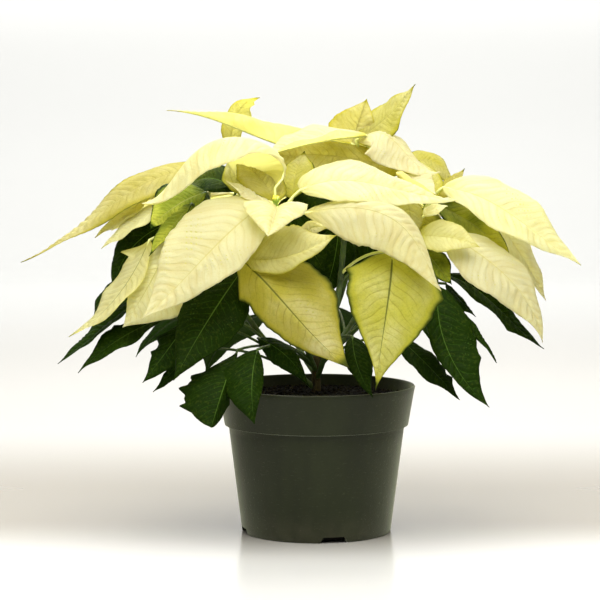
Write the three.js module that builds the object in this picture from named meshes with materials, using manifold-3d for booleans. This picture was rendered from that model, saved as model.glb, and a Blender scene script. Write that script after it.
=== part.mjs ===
// A white poinsettia in a round nursery pot. Millimetres, +Z up, the viewer's side is -Y.
// The origin is the middle of the pot's flat underside.
import * as THREE from "three";
import { mergeVertices } from "three/addons/utils/BufferGeometryUtils.js";
import Module from "manifold-3d";

const wasm = await Module();
wasm.setup();

// ---- driving dimensions ----
const GAP = 0.3; // left between pieces that touch

const POT_HEIGHT = 123.3;
const RIM_RADIUS = 82.5; // a 6.5 inch azalea pot
const BASE_RADIUS = 62.3;
const BAND_BOTTOM = 91; // the rim band stands out from here up
const BAND_RADIUS = 77; // at its bottom
const BODY_TOP_RADIUS = 73.8;
const POT_WALL = 1.8;
const POT_FLOOR = 2.5;
const LIP_WIDTH = 2.6;
const LIP_DEPTH = 4;
const FOOT_CHAMFER = 0.8;
const RIM_CHAMFER = 1;
const BAND_STEP = 1.2; // height over which the wall steps out to the band
const STEP_INSIDE = [-1, 3]; // the same inside the pot, from the band's bottom
const POT_SIDES = 30;
const NOTCHES = 4; // drainage notches at the foot
const NOTCH_WIDTH = 24;
const NOTCH_HEIGHT = 5;
const NOTCH_DEPTH = 9;
const NOTCH_TAPER = 3; // the notch is narrower at its top by this on each side
const FIRST_NOTCH = 13; // degrees from the front toward the right

const SOIL_EDGE = 113; // height at the wall
const SOIL_CROWN = 118; // height around the trunk
const SOIL_SHOULDER = 0.6; // share of its radius at which the mound has a bend
const SOIL_CLEAR = 0.39; // left between the soil and the wall

const TRUNK_BOTTOM = 58;
const TRUNK_TOP = 148;
const TRUNK_RADIUS = 4.4;
const TRUNK_TIP_RADIUS = 3.6;

const STEM_RADIUS = 2.3;
const STEM_SIDES = 5;
const STEM_LENGTHS = 4; // straight lengths in each piece of a stem
const STEM_RISE = 0.42; // share of a stem's height at which it bends
const PETIOLE_RADIUS = 1.15;
const PETIOLE_SLOPE = 0.35; // its rise for each mm that it reaches out
const PETIOLE_ARCH = 0.06; // its middle stands off the straight line by this share of its reach
const PETIOLE_END = 0.16; // share of the blade's rib that the petiole runs under
const BLADE = 0.7; // blade thickness

const CYATHIA = 3; // beads on each flowering stem
const CYATHIA_STALK = 1.1; // radius
const BEAD_RADIUS = 2;
const BEAD_HEIGHT = 6.6;
const BEAD_REACH = 1.9; // from the stalk's line to a bead's middle
const BEAD_LEAN = 24; // degrees
const BEAD_RISE = 1.2; // of a bead's middle over the stalk's end
const BEAD_SWING = 0.7; // how far the draws lift or lower it
const BEAD_TURN = 0.3; // share of the space between beads by which the draws turn it
const STALK_CLEAR = 0.38; // from the stem's end to the foot of the stalk

// Each flowering stem leaves the trunk at height `from`, bends at `bow` of the way out and ends at
// `top`. Green leaves end at share `split` of it and bracts stand above. The cyathia stand off its
// top by `lean`, clear of the bracts.
const STEMS = [
  // front left, its cyathia show
  { from: 134, top: [-32, -56, 273], split: 0.74, bow: 0.8, lean: [-1, -1.5, 6] },
  // the tall one behind the middle
  { from: 148, top: [44, 56, 308], split: 0.72, bow: 0.8, lean: [1, 1.5, 5] },
  // right
  { from: 141, top: [90, 10, 270], split: 0.74, bow: 0.8, lean: [1.5, 0, 5] },
  // left, its foot shows above the soil
  { from: 119, top: [-92, 0, 284], split: 0.76, bow: 0.95, lean: [0, 0, 5] },
  // front, low under the ridge
  { from: 127, top: [22, -44, 247], split: 0.76, bow: 0.8, lean: [0, -1.5, 6] },
  // back left
  { from: 130, top: [-60, 92, 284], split: 0.74, bow: 0.8, lean: [-0.5, 1.5, 5] },
  // back right
  { from: 136, top: [76, 88, 280], split: 0.74, bow: 0.8, lean: [1, 1.5, 5] },
];

// ---- the leaves ----
// A blade is drawn through its rib's points, from base to tip. `left` and `right` lead from the rib
// to its two edges where it is `widest`, seen from above with the tip ahead. `blunt` rounds the base
// and `taper` draws out the tip, for both edges or for [left, right]. A lobe is
// [share of length, side (-1 left, 1 right), size as a share of the half width, reach along it].
const PLAIN_LEAF = { widest: 0.4, blunt: 0.65, taper: 1.25, lobes: [] };
const BRACTS = {
  behind_cyathia: {
    stem: 1, rib: [[-20, -30, 280], [-17, -14, 300], [-10, 4, 318]], left: [-12, 13, 8],
    right: [17, -7, 2],
  },
  shelf: {
    stem: 1, rib: [[-14, -52, 287], [25, -44, 295], [72, -40, 286], [116, -42, 279]],
    left: [-11, 25, 16], right: [0, -25, -17], widest: 0.36, blunt: 0.45, taper: [2.1, 1.3],
  },
  ridge: {
    stem: 1, rib: [[-11, -62, 269], [28, -74, 274], [67, -92, 260], [84, -103, 236], [97, -112, 210]],
    left: [-17, 27, 13], right: [-1, -17, -30], widest: 0.4, blunt: [0.5, 0.9], taper: [1.7, 1.1],
  },
  heart: {
    stem: 1, rib: [[-32, -72, 274], [-35, -96, 263], [-39, -116, 253]], left: [27, 2, 11],
    right: [-25, 2, 11], widest: 0.32, blunt: 0.4, taper: 1.2,
  },
  sliver: {
    stem: 1, rib: [[-36, -56, 275], [-54, -58, 284], [-73, -62, 295]], left: [-5, -12, -2],
    right: [-2, 16, 5],
  },
  dome: {
    stem: 1, rib: [[-35, -48, 278], [-45, -34, 295], [-66, -22, 311]], left: [-11, -22, -11],
    right: [9, 22, 10], widest: 0.45, blunt: 0.6, taper: 0.8,
  },
  arch: {
    stem: 1,
    rib: [[-34, -46, 289], [-27, -34, 310], [-54, -40, 329], [-109, -54, 307], [-141, -66, 277]],
    left: [6, -30, -19], right: [17, 17, -15], widest: 0.52, blunt: [2, 0.7], taper: 1,
    lobes: [[0.17, 1, 0.9, 0.15], [0.32, 1, 0.9, 0.15]],
  },
  great_left: {
    stem: 1, rib: [[-44, -72, 275], [-76, -92, 249], [-107, -106, 217], [-138, -116, 188]],
    left: [16, -18, -20], right: [-31, 22, 18], widest: 0.38, blunt: [0.3, 0.35], taper: 1.3,
  },
  folded_front: {
    stem: 1, rib: [[-57, -76, 234], [-28, -90, 235], [-5, -96, 243], [15, -98, 253]],
    left: [0, 29, 24], right: [-3, -9, -12], widest: 0.38, blunt: [0.24, 0.5], taper: 1.2,
  },
  curly_front: {
    stem: 1, rib: [[-11, -84, 244], [-7, -76, 256], [8, -88, 258]], left: [-5, 2, 4],
    right: [7, -8, -5], widest: 0.4, blunt: 0.5, taper: 1.1,
  },
  apron_left: {
    stem: 1, rib: [[-64, -76, 235], [-34, -100, 208], [-6, -116, 178], [25, -122, 150]],
    left: [33, 39, 19], right: [-15, 13, -19], widest: 0.38, blunt: [0.45, 0.5], taper: [1.1, 1.2],
    lobes: [[0.16, 1, 0.3, 0.09]],
  },
  flat_far_left: {
    stem: 2, rib: [[31, 62, 324], [-14, 54, 320], [-63, 38, 336], [-126, 26, 352]], left: [4, -20, 16],
    right: [4, 16, 9], widest: 0.4, taper: 2,
  },
  rear_peak: {
    stem: 2, rib: [[29, 64, 318], [36, 60, 341], [43, 52, 362]], left: [-25, 4, 0],
    right: [21, -12, 1], widest: 0.32, blunt: 0.5, taper: [1.4, 1.05],
  },
  tall_peak: {
    stem: 2, rib: [[34, 54, 327], [58, 44, 345], [83, 24, 374]], left: [-12, 20, 5],
    right: [14, -18, -8], widest: 0.34, taper: [1.3, 1.55],
  },
  flat_lens: {
    stem: 2, rib: [[42, 30, 331], [11, 18, 328], [-17, 6, 322], [-45, -2, 314]], left: [-11, -29, 3],
    right: [-10, 23, 12], widest: 0.48,
  },
  rear_right: {
    stem: 2, rib: [[35, 34, 326], [55, 31, 333], [77, 18, 314], [103, 2, 301]], left: [10, 24, -3],
    right: [-19, -24, -17], widest: 0.35, blunt: 0.45,
  },
  mid_back: {
    stem: 2, rib: [[73, 38, 300], [24, 27, 313], [-41, 10, 312]], left: [-5, -11, -17],
    right: [-5, 9, 13], widest: 0.5, blunt: 0.6, taper: 0.7,
  },
  right_channel: {
    stem: 3, rib: [[68, 8, 296], [81, -8, 289], [98, -26, 283]], left: [10, 14, 11],
    right: [-11, -10, 12],
  },
  broad_right: {
    stem: 3, rib: [[105, 0, 288], [134, -6, 281], [168, -12, 261], [219, -12, 224]],
    left: [15, 32, 16], right: [-18, -20, -9], widest: 0.42, blunt: 0.5, taper: [1.2, 1.9],
  },
  hanging_right: {
    stem: 3, rib: [[148, 22, 265], [173, 24, 230], [194, 22, 192]], left: [14, 16, 0],
    right: [-6, -16, -8], widest: 0.45,
  },
  long_right: {
    stem: 3, rib: [[108, -20, 250], [138, -34, 231], [166, -44, 204], [184, -46, 163]],
    left: [10, 26, 13], right: [-24, -16, -10], widest: 0.36, blunt: 0.5,
  },
  shaded_right: {
    stem: 3, rib: [[83, -34, 249], [104, -40, 249], [132, -48, 241]], left: [2, 9, 13],
    right: [-4, -13, -12], widest: 0.38, blunt: 0.45,
  },
  under_shelf: {
    stem: 3, rib: [[74, -14, 281], [77, -22, 265], [77, -26, 245]], left: [12, 9, 2],
    right: [-13, -13, 0],
  },
  half_green_right: {
    stem: 3, rib: [[100, 4, 273], [128, 2, 259], [163, 0, 226]], left: [9, 18, 13],
    right: [-10, -16, -11],
  },
  pale_scrap: {
    stem: 3, rib: [[88, -20, 265], [97, -18, 271], [108, -16, 273]], left: [3, 10, 6],
    right: [1, -8, -5],
  },
  shelf_back: {
    stem: 3, rib: [[97, 20, 277], [94, 30, 292], [87, 40, 310]], left: [-14, 5, 3], right: [13, -1, 0],
  },
  inner_right: {
    stem: 3, rib: [[105, 4, 261], [86, -2, 256], [66, -10, 251]], left: [-5, -11, -14],
    right: [-2, 9, 15],
  },
  dome_left: {
    stem: 4, rib: [[-63, -24, 283], [-70, -16, 296], [-73, -12, 311]], left: [-9, -8, 2],
    right: [8, 16, 10],
  },
  long_left: {
    stem: 4, rib: [[-91, 18, 304], [-143, 12, 291], [-191, 4, 259], [-246, -6, 226]],
    left: [1, -24, -14], right: [2, 30, 13], widest: 0.3, taper: [2.1, 3.3],
  },
  left_under_1: {
    stem: 4, rib: [[-139, 12, 281], [-164, 6, 262], [-185, 2, 246]], left: [-6, -15, -11],
    right: [-14, 11, -1],
  },
  left_under_2: {
    stem: 4, rib: [[-126, -8, 275], [-151, -12, 258], [-178, -16, 238]], left: [1, -15, -5],
    right: [-10, 19, 2],
  },
  curled_left: {
    stem: 4, rib: [[-137, -34, 246], [-149, -46, 221], [-165, -54, 198], [-201, -60, 169]],
    left: [12, -15, 1], right: [-9, 19, 7], widest: 0.38, taper: 1.6, lobes: [[0.1, 1, 1, 0.06]],
  },
  backing_left: {
    stem: 4, rib: [[-118, -40, 250], [-134, -56, 215], [-157, -64, 177]], left: [36, -5, -23],
    right: [-15, 11, 4], widest: 0.45,
  },
  apron_right: {
    stem: 5, rib: [[60, -78, 238], [56, -98, 203], [51, -106, 171], [46, -108, 131]],
    left: [40, 3, -3], right: [-34, 5, -1], widest: 0.27, blunt: 0.33, taper: [1.5, 2],
    lobes: [[0.13, 1, 0.2, 0.06], [0.3, -1, 0.08, 0.08]],
  },
  ragged_back: {
    stem: 6, rib: [[-69, 55, 310], [-72, 62, 337], [-65, 60, 354], [-48, 48, 363]], left: [-9, -12, 1],
    right: [11, 10, 1], widest: 0.5, taper: 1.1, lobes: [[0.62, 1, 0.25, 0.07], [0.78, 1, 0.25, 0.06]],
  },
  far_right_round: {
    stem: 7, rib: [[72, 60, 300], [94, 62, 310], [120, 62, 284]], left: [0, 22, 8],
    right: [4, -18, -17],
  },
  far_right_tip: {
    stem: 7, rib: [[102, 48, 279], [116, 45, 291], [126, 40, 303]], left: [-2, 4, 6],
    right: [8, -6, -2],
  },
};
const GREENS = {
  broad_front: {
    stem: 1, rib: [[-62, -56, 221], [-83, -78, 191], [-114, -100, 138]], left: [24, 2, -11],
    right: [-27, 10, 4], widest: 0.36,
  },
  oaken: {
    stem: 1, rib: [[-64, -66, 159], [-74, -90, 133], [-84, -104, 101]], left: [5, 14, -9],
    right: [-33, 6, -8], widest: 0.62, blunt: [0.9, 1.6], taper: 0.55,
    lobes: [[0.42, 1, 0.16, 0.07], [0.63, 1, 0.2, 0.06], [0.84, 1, 0.3, 0.05], [0.62, -1, 0.2, 0.06]],
  },
  over_rim: {
    stem: 1, rib: [[-48, -74, 160], [-52, -92, 134], [-50, -98, 103]], left: [9, 3, -1],
    right: [-24, 5, -1], widest: 0.4, taper: 1.1,
  },
  soil_left: {
    stem: 1, rib: [[-48, -52, 167], [-25, -64, 154], [-7, -68, 130]], left: [9, 6, 2],
    right: [-6, 0, -10],
  },
  inner_dark: {
    stem: 1, rib: [[-33, -30, 267], [-4, -14, 268], [29, 0, 273]], left: [7, 14, 17],
    right: [0, -10, -22], blunt: 0.5,
  },
  inner_low: {
    stem: 1, rib: [[-15, -42, 253], [-7, -44, 242], [6, -46, 221]], left: [8, 6, 13],
    right: [-12, -6, -11],
  },
  centre: {
    stem: 2, rib: [[18, -20, 259], [14, -34, 228], [4, -40, 197]], left: [16, 10, -4],
    right: [-20, 8, -3],
  },
  inner_back: {
    stem: 2, rib: [[39, 30, 265], [37, 16, 240], [30, 6, 214]], left: [19, 0, -5], right: [-21, 0, -5],
  },
  broad_right_low: {
    stem: 3, rib: [[99, -46, 209], [100, -62, 175], [114, -74, 142], [138, -80, 114]],
    left: [29, 5, -7], right: [-9, -5, -7], widest: 0.42, blunt: 0.45,
    lobes: [[0.45, -1, 0.05, 0.06], [0.66, -1, 0.08, 0.06]],
  },
  long_right_low: {
    stem: 3, rib: [[105, -22, 217], [139, -28, 199], [163, -30, 176], [187, -30, 156]],
    left: [0, 14, 11], right: [-12, -12, 1], lobes: [[0.55, -1, 0.3, 0.06], [0.68, 1, 0.2, 0.06]],
  },
  right_small: {
    stem: 3, rib: [[107, -16, 209], [120, -22, 194], [131, -24, 182]], left: [7, 5, -5],
    right: [-1, -9, -7],
  },
  right_sliver: {
    stem: 3, rib: [[111, -40, 196], [131, -50, 170], [146, -54, 147]], left: [7, 2, -5],
    right: [3, -4, -8],
  },
  half_green_low: {
    stem: 3, rib: [[88, -30, 238], [97, -36, 227], [110, -40, 210]], left: [11, 8, 4],
    right: [-10, -10, -5],
  },
  half_green_left: {
    stem: 4, rib: [[-91, -30, 285], [-118, -38, 272], [-136, -42, 255]], left: [3, -10, -16],
    right: [-17, 22, 13],
  },
  half_green_sliver: {
    stem: 4, rib: [[-102, -42, 276], [-121, -52, 253], [-136, -56, 234]], left: [0, -6, -6],
    right: [-14, 10, -2],
  },
  dark_left_top: {
    stem: 4, rib: [[-67, -18, 285], [-87, -10, 296], [-117, -6, 281]], left: [-7, -16, -11],
    right: [0, 16, 11],
  },
  dark_left_edge: {
    stem: 4, rib: [[-126, 8, 257], [-151, 4, 241], [-170, -4, 203]], left: [12, -12, -21],
    right: [-16, 10, 2],
  },
  toothed_left: {
    stem: 4, rib: [[-102, -34, 184], [-119, -52, 161], [-141, -64, 132]], left: [9, -5, -14],
    right: [-9, 11, 3], widest: 0.45, lobes: [[0.4, 1, 0.5, 0.08], [0.62, 1, 0.25, 0.06]],
  },
  toothed_tip: {
    stem: 4, rib: [[-107, -44, 155], [-119, -54, 138], [-133, -60, 124]], left: [1, 2, -8],
    right: [-7, -4, -1],
  },
  outer_left: {
    stem: 4, rib: [[-146, -24, 198], [-178, -36, 171], [-212, -42, 145]], left: [-5, -16, -6],
    right: [-15, 12, -3],
  },
  bright_left: {
    stem: 4, rib: [[-127, -30, 181], [-161, -46, 166], [-194, -56, 139]], left: [5, -13, -6],
    right: [-6, 11, 8], widest: 0.45, blunt: 0.9, taper: 1.6, lobes: [[0.42, 1, 0.2, 0.05]],
  },
  thin_left: {
    stem: 4, rib: [[-155, -12, 212], [-176, -16, 194], [-186, -16, 175]], left: [-3, -11, -10],
    right: [-11, 13, -1],
  },
  toothed_right: {
    stem: 5, rib: [[67, -34, 166], [91, -48, 144], [116, -56, 117]], left: [12, 8, 0],
    right: [-6, -10, -8], lobes: [[0.6, -1, 0.3, 0.06], [0.75, -1, 0.3, 0.06]],
  },
  soil_right: {
    stem: 5, rib: [[29, -48, 168], [32, -66, 148], [45, -78, 121]], left: [14, 6, -1],
    right: [-8, 2, -2], widest: 0.35, blunt: 0.35,
  },
  under_ridge: {
    stem: 5, rib: [[35, -34, 226], [52, -34, 243], [70, -36, 258]], left: [-3, 6, 18],
    right: [12, -8, -12],
  },
};

// Leaves that follow a rule: they leave their stem at `azimuth` (0 is +X, 90 is +Y) and rise at
// `lift` degrees at the base and at `droop` degrees at the tip. The base of a green one is at `height`.
const RULED_BRACTS = [
  { stem: 2, azimuth: 78, length: 96, width: 31, lift: 24, droop: -32 },
  { stem: 2, azimuth: 128, length: 84, width: 27, lift: 30, droop: -22 },
  { stem: 3, azimuth: 58, length: 92, width: 28, lift: 16, droop: -38 },
  { stem: 4, azimuth: 138, length: 108, width: 32, lift: 8, droop: -42 },
  { stem: 4, azimuth: 102, length: 56, width: 22, lift: 26, droop: -18 },
  { stem: 6, azimuth: 66, length: 104, width: 33, lift: 10, droop: -46 },
  { stem: 6, azimuth: 108, length: 128, width: 36, lift: 6, droop: -52 },
  { stem: 6, azimuth: 152, length: 118, width: 34, lift: 12, droop: -40 },
  { stem: 6, azimuth: 182, length: 66, width: 22, lift: 24, droop: -26 },
  { stem: 6, azimuth: 20, length: 62, width: 21, lift: 30, droop: -16 },
  { stem: 7, azimuth: 94, length: 122, width: 35, lift: 8, droop: -50 },
  { stem: 7, azimuth: 52, length: 116, width: 34, lift: 10, droop: -44 },
  { stem: 7, azimuth: 12, length: 92, width: 29, lift: 12, droop: -44 },
];
const RULED_GREENS = [
  { stem: 2, azimuth: 112, length: 84, width: 24, lift: 4, droop: -44, height: 236 },
  { stem: 3, azimuth: 30, length: 96, width: 27, lift: -4, droop: -56, height: 214 },
  { stem: 4, azimuth: 158, length: 100, width: 27, lift: -6, droop: -58, height: 214 },
  { stem: 6, azimuth: 84, length: 112, width: 30, lift: -8, droop: -62, height: 200 },
  { stem: 6, azimuth: 124, length: 104, width: 29, lift: -10, droop: -60, height: 176 },
  { stem: 6, azimuth: 164, length: 106, width: 28, lift: -6, droop: -56, height: 190 },
  { stem: 7, azimuth: 104, length: 104, width: 29, lift: -10, droop: -62, height: 182 },
  { stem: 7, azimuth: 66, length: 112, width: 30, lift: -8, droop: -60, height: 204 },
  { stem: 7, azimuth: 24, length: 104, width: 28, lift: -6, droop: -58, height: 188 },
];
const BRACT_REACH = 13; // from the stem's top to the base of a ruled bract
const BRACT_DROP = 4; // and down
const GREEN_REACH = 48; // from the stem to the base of a ruled green leaf
const GREEN_RISE = 14; // and up
const GREEN_SHARES = [0.2, 0.79]; // shares of the stem between which a ruled green leaf leaves it
const GREEN_TEETH = [[0.34, -1, 0.14, 0.07], [0.5, 1, 0.14, 0.07]];
const BRACT_FOLD = 0.22; // how far both edges hang, as a share of the half width
const GREEN_FOLD = 0.11;
// How far the draws swing a ruled leaf.
const TURN_SWING = 4; // degrees of azimuth
const LENGTH_SWING = 0.05; // share of its length
const FOLD_SWING = 0.45; // share of its fold
const TILT_SWING = 0.25; // sideways slope

// ---- vectors, curves and solids ----
const UP = new THREE.Vector3(0, 0, 1);
const vec = (point) => new THREE.Vector3(...point);
const rad = THREE.MathUtils.degToRad;
const clamp = THREE.MathUtils.clamp;
const steps = (count) => [...Array(count + 1).keys()].map((i) => i / count);

// A steady draw between -1 and 1 for each seed.
function draw(seed) {
  const s = Math.sin(seed * 12.9898) * 43758.5453;
  return 2 * (s - Math.floor(s)) - 1;
}

// The smooth curve through the points, at the share t of its length.
function through(points, t) {
  const at = [0];
  for (let i = 1; i < points.length; i++) at.push(at[i - 1] + points[i].distanceTo(points[i - 1]));
  const length = at[at.length - 1];
  const out = new THREE.Vector3();
  points.forEach((point, i) => {
    let weight = 1;
    at.forEach((d, j) => {
      if (j !== i) weight *= (t * length - d) / (at[i] - d);
    });
    out.addScaledVector(point, weight);
  });
  return out;
}

function solid(geometry) {
  const bare = new THREE.BufferGeometry();
  bare.setAttribute("position", geometry.getAttribute("position"));
  bare.setIndex(geometry.index);
  const merged = mergeVertices(bare, 1e-4);
  return new wasm.Manifold(
    new wasm.Mesh({
      numProp: 3,
      vertProperties: merged.getAttribute("position").array,
      triVerts: new Uint32Array(merged.index.array),
    }),
  );
}

function geometryOf(manifold) {
  const mesh = manifold.getMesh();
  const geometry = new THREE.BufferGeometry();
  geometry.setAttribute("position", new THREE.BufferAttribute(mesh.vertProperties, 3));
  geometry.setIndex(new THREE.BufferAttribute(mesh.triVerts, 1));
  geometry.computeVertexNormals();
  return geometry;
}

const joined = (solids) => solids.reduce((a, b) => a.add(b));

function tube(curve, radius, sides, lengths) {
  const section = new THREE.Shape();
  for (let i = 0; i < sides; i++) {
    const turn = (2 * Math.PI * i) / sides;
    const point = [radius * Math.cos(turn), radius * Math.sin(turn)];
    if (i === 0) section.moveTo(...point);
    else section.lineTo(...point);
  }
  return solid(
    new THREE.ExtrudeGeometry(section, {
      steps: lengths,
      extrudePath: curve,
      bevelEnabled: false,
    }),
  );
}

function lathe(profile) {
  const points = profile.map(([r, z]) => new THREE.Vector2(r, z));
  return solid(new THREE.LatheGeometry(points, POT_SIDES).rotateX(Math.PI / 2));
}

// ---- one blade ----
const FRAMES = 24; // steps in which the blade's frame is carried along the rib
const NARROWEST = 0.45; // half width kept at base and tip
const ROW_LENGTH = 26; // length of blade for each row of its grid
const FEWEST_ROWS = 4;
const MOST_ROWS = 6;
const END_MARGIN = 0.02; // share of the rib that a lobe keeps off its ends

// The rib's frames at shares 0 to 1: place, direction and the direction of the right half.
function ribFrames(leaf) {
  const points = leaf.rib.map(vec);
  const place = (t) => through(points, t);
  const direction = (t) => place(t + 0.01).sub(place(t - 0.01)).normalize();
  const across = (v, ahead) => v.clone().addScaledVector(ahead, -v.dot(ahead)).normalize();
  const first = across(vec(leaf.right).sub(vec(leaf.left)), direction(leaf.widest));
  const carry = (end) => {
    let right = first;
    return steps(FRAMES).map((share) => {
      const t = leaf.widest + (end - leaf.widest) * share;
      const ahead = direction(t);
      right = across(right, ahead);
      return { t, place: place(t), ahead, right };
    });
  };
  return [...carry(0).reverse().slice(0, -1), ...carry(1)];
}

function frameAt(frames, t) {
  const next = Math.max(1, frames.findIndex((f) => f.t >= t - 1e-9));
  const [a, b] = [frames[next - 1], frames[next]];
  const k = clamp((t - a.t) / (b.t - a.t), 0, 1);
  const ahead = a.ahead.clone().lerp(b.ahead, k).normalize();
  const right = a.right.clone().lerp(b.right, k);
  right.addScaledVector(ahead, -right.dot(ahead)).normalize();
  const normal = new THREE.Vector3().crossVectors(right, ahead);
  return { place: a.place.clone().lerp(b.place, k), ahead, right, normal };
}

// The half width at share t, as a share of the widest. `hand` is 0 for left and 1 for right.
function spread(leaf, t, hand) {
  const toBase = t < leaf.widest;
  const share = toBase ? t / leaf.widest : (1 - t) / (1 - leaf.widest);
  const [blunt, taper] = [leaf.blunt, leaf.taper].map((v) => (Array.isArray(v) ? v[hand] : v));
  let width = Math.sin((Math.PI / 2) * share) ** (toBase ? blunt : taper);
  for (const [at, side, size, reach] of leaf.lobes)
    if (side > 0 === (hand === 1)) width += size * Math.max(0, 1 - Math.abs(t - at) / reach);
  return width;
}

// The shares of the rib at which the grid has its rows: even ones, and the corners of each lobe.
function rowShares(leaf) {
  const length = vec(leaf.rib[0]).distanceTo(vec(leaf.rib[leaf.rib.length - 1]));
  const shares = new Set(steps(clamp(Math.round(length / ROW_LENGTH), FEWEST_ROWS, MOST_ROWS)));
  for (const [at, , , reach] of leaf.lobes) {
    for (const t of [...shares]) if (t > 0 && t < 1 && Math.abs(t - at) < reach) shares.delete(t);
    for (const t of [at - reach, at, at + reach]) shares.add(clamp(t, END_MARGIN, 1 - END_MARGIN));
  }
  return [...shares].sort((a, b) => a - b);
}

// Rows of three points: the left edge, the rib and the right edge.
function bladeGrid(leaf) {
  const frames = ribFrames(leaf);
  const middle = frameAt(frames, leaf.widest);
  const halves = [leaf.left, leaf.right].map((edge) => {
    const flat = vec(edge).addScaledVector(middle.ahead, -vec(edge).dot(middle.ahead));
    const [out, rise] = [flat.dot(middle.right), flat.dot(middle.normal)];
    return { width: flat.length(), out: out / flat.length(), rise: rise / flat.length() };
  });
  return rowShares(leaf).map((t) => {
    const frame = frameAt(frames, t);
    const [left, right] = halves.map(({ width, out, rise }, hand) => {
      const reach = Math.max(width * spread(leaf, t, hand), NARROWEST);
      const edge = frame.place.clone().addScaledVector(frame.right, reach * out);
      return edge.addScaledVector(frame.normal, reach * rise);
    });
    return [left, frame.place, right];
  });
}

// A closed blade: the grid's sheet on both faces, cut into the same triangles, and a rim.
function blade(leaf) {
  const grid = bladeGrid(leaf);
  const [rows, columns] = [grid.length, grid[0].length];
  const sheet = new THREE.PlaneGeometry(1, 1, columns - 1, rows - 1);
  const place = sheet.getAttribute("position");
  grid.flat().forEach((point, i) => place.setXYZ(i, ...point));
  sheet.computeVertexNormals();
  const normal = sheet.getAttribute("normal");
  const count = place.count;
  const positions = new Float32Array(count * 6);
  for (let i = 0; i < count; i++) {
    const point = new THREE.Vector3().fromBufferAttribute(place, i);
    const out = new THREE.Vector3().fromBufferAttribute(normal, i).multiplyScalar(BLADE / 2);
    point.clone().add(out).toArray(positions, i * 3);
    point.clone().sub(out).toArray(positions, (count + i) * 3);
  }
  const top = [...sheet.index.array];
  const index = [...top];
  for (let i = 0; i < top.length; i += 3)
    index.push(top[i] + count, top[i + 2] + count, top[i + 1] + count);
  const rim = [];
  for (let j = 0; j < columns - 1; j++) rim.push(j);
  for (let i = 0; i < rows - 1; i++) rim.push(i * columns + columns - 1);
  for (let j = columns - 1; j > 0; j--) rim.push((rows - 1) * columns + j);
  for (let i = rows - 1; i > 0; i--) rim.push(i * columns);
  rim.forEach((a, k) => {
    const b = rim[(k + 1) % rim.length];
    index.push(a, b, a + count, b, b + count, a + count);
  });
  const closed = new THREE.BufferGeometry();
  closed.setAttribute("position", new THREE.BufferAttribute(positions, 3));
  closed.setIndex(index);
  return solid(closed);
}

// ---- leaves on their stems ----
const LOW_MARGIN = 0.03; // share of a stem piece's ends that is kept free of petioles
const TOP_MARGIN = 0.06;

const stemCurves = STEMS.map(({ from, top, bow }) => {
  const start = new THREE.Vector3(0, 0, from);
  const bend = new THREE.Vector3(bow * top[0], bow * top[1], from + STEM_RISE * (top[2] - from));
  return new THREE.QuadraticBezierCurve3(start, bend, vec(top));
});

// The stem between two shares of its length.
function stemPiece(curve, low, high) {
  const points = steps(STEM_LENGTHS).map((share) => curve.getPoint(low + (high - low) * share));
  return tube(new THREE.CatmullRomCurve3(points), STEM_RADIUS, STEM_SIDES, STEM_LENGTHS);
}

// A petiole leaves the stem between the shares `low` and `high`, where its slope to the base is right.
function petiole(leaf, curve, low, high) {
  const rib = leaf.rib.map(vec);
  const base = rib[0];
  const tooHigh = (p) => p.z > base.z - PETIOLE_SLOPE * Math.hypot(base.x - p.x, base.y - p.y);
  let share = high;
  while (share > low && tooHigh(curve.getPoint(share))) share -= 0.01;
  const start = curve.getPoint(share);
  const arch = PETIOLE_ARCH * base.distanceTo(start);
  const ahead = through(rib, 0.05).sub(base).normalize();
  const middle = start.clone().lerp(base, 0.5).addScaledVector(UP, arch).addScaledVector(ahead, -arch);
  const path = new THREE.CatmullRomCurve3([start, middle, base, through(rib, PETIOLE_END)]);
  return tube(path, PETIOLE_RADIUS, 3, 3);
}

// A piece of stem with its leaves, as one solid.
function foliage(leaves, curve, low, high, topMargin) {
  const parts = leaves.flatMap((leaf) => [
    petiole(leaf, curve, low + LOW_MARGIN, high - topMargin),
    blade(leaf),
  ]);
  return joined([stemPiece(curve, low, high), ...parts]);
}

// Where a ruled leaf has its base: around the stem's top, or for a green one at its height.
function ruledBase(spec, out) {
  const curve = stemCurves[spec.stem - 1];
  if (!spec.height)
    return curve.getPoint(1).addScaledVector(out, BRACT_REACH).addScaledVector(UP, -BRACT_DROP);
  let [share, highest] = GREEN_SHARES;
  while (share < highest && curve.getPoint(share).z <= spec.height - GREEN_RISE) share += 0.01;
  return curve.getPoint(share).addScaledVector(out, GREEN_REACH).setZ(spec.height);
}

function ruledLeaf(spec, seed) {
  const turn = rad(spec.azimuth + TURN_SWING * draw(seed));
  const out = new THREE.Vector3(Math.cos(turn), Math.sin(turn), 0);
  const toRight = new THREE.Vector3().crossVectors(out, UP);
  const length = spec.length * (1 + LENGTH_SWING * draw(seed + 0.3));
  const rib = [ruledBase(spec, out)];
  for (const share of [1 / 6, 3 / 6, 5 / 6]) {
    const rise = rad(spec.lift + (spec.droop - spec.lift) * share);
    const step = out.clone().multiplyScalar(Math.cos(rise)).addScaledVector(UP, Math.sin(rise));
    rib.push(rib[rib.length - 1].clone().addScaledVector(step, length / 3));
  }
  const fold = (spec.height ? GREEN_FOLD : BRACT_FOLD) * (1 + FOLD_SWING * draw(seed + 0.6));
  const tilt = TILT_SWING * draw(seed + 0.9);
  const edge = (side) => {
    const outward = toRight.clone().multiplyScalar(side).addScaledVector(UP, side * tilt - fold);
    return outward.multiplyScalar(spec.width);
  };
  return { stem: spec.stem, rib, left: edge(-1), right: edge(1), lobes: spec.height ? GREEN_TEETH : [] };
}

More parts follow.
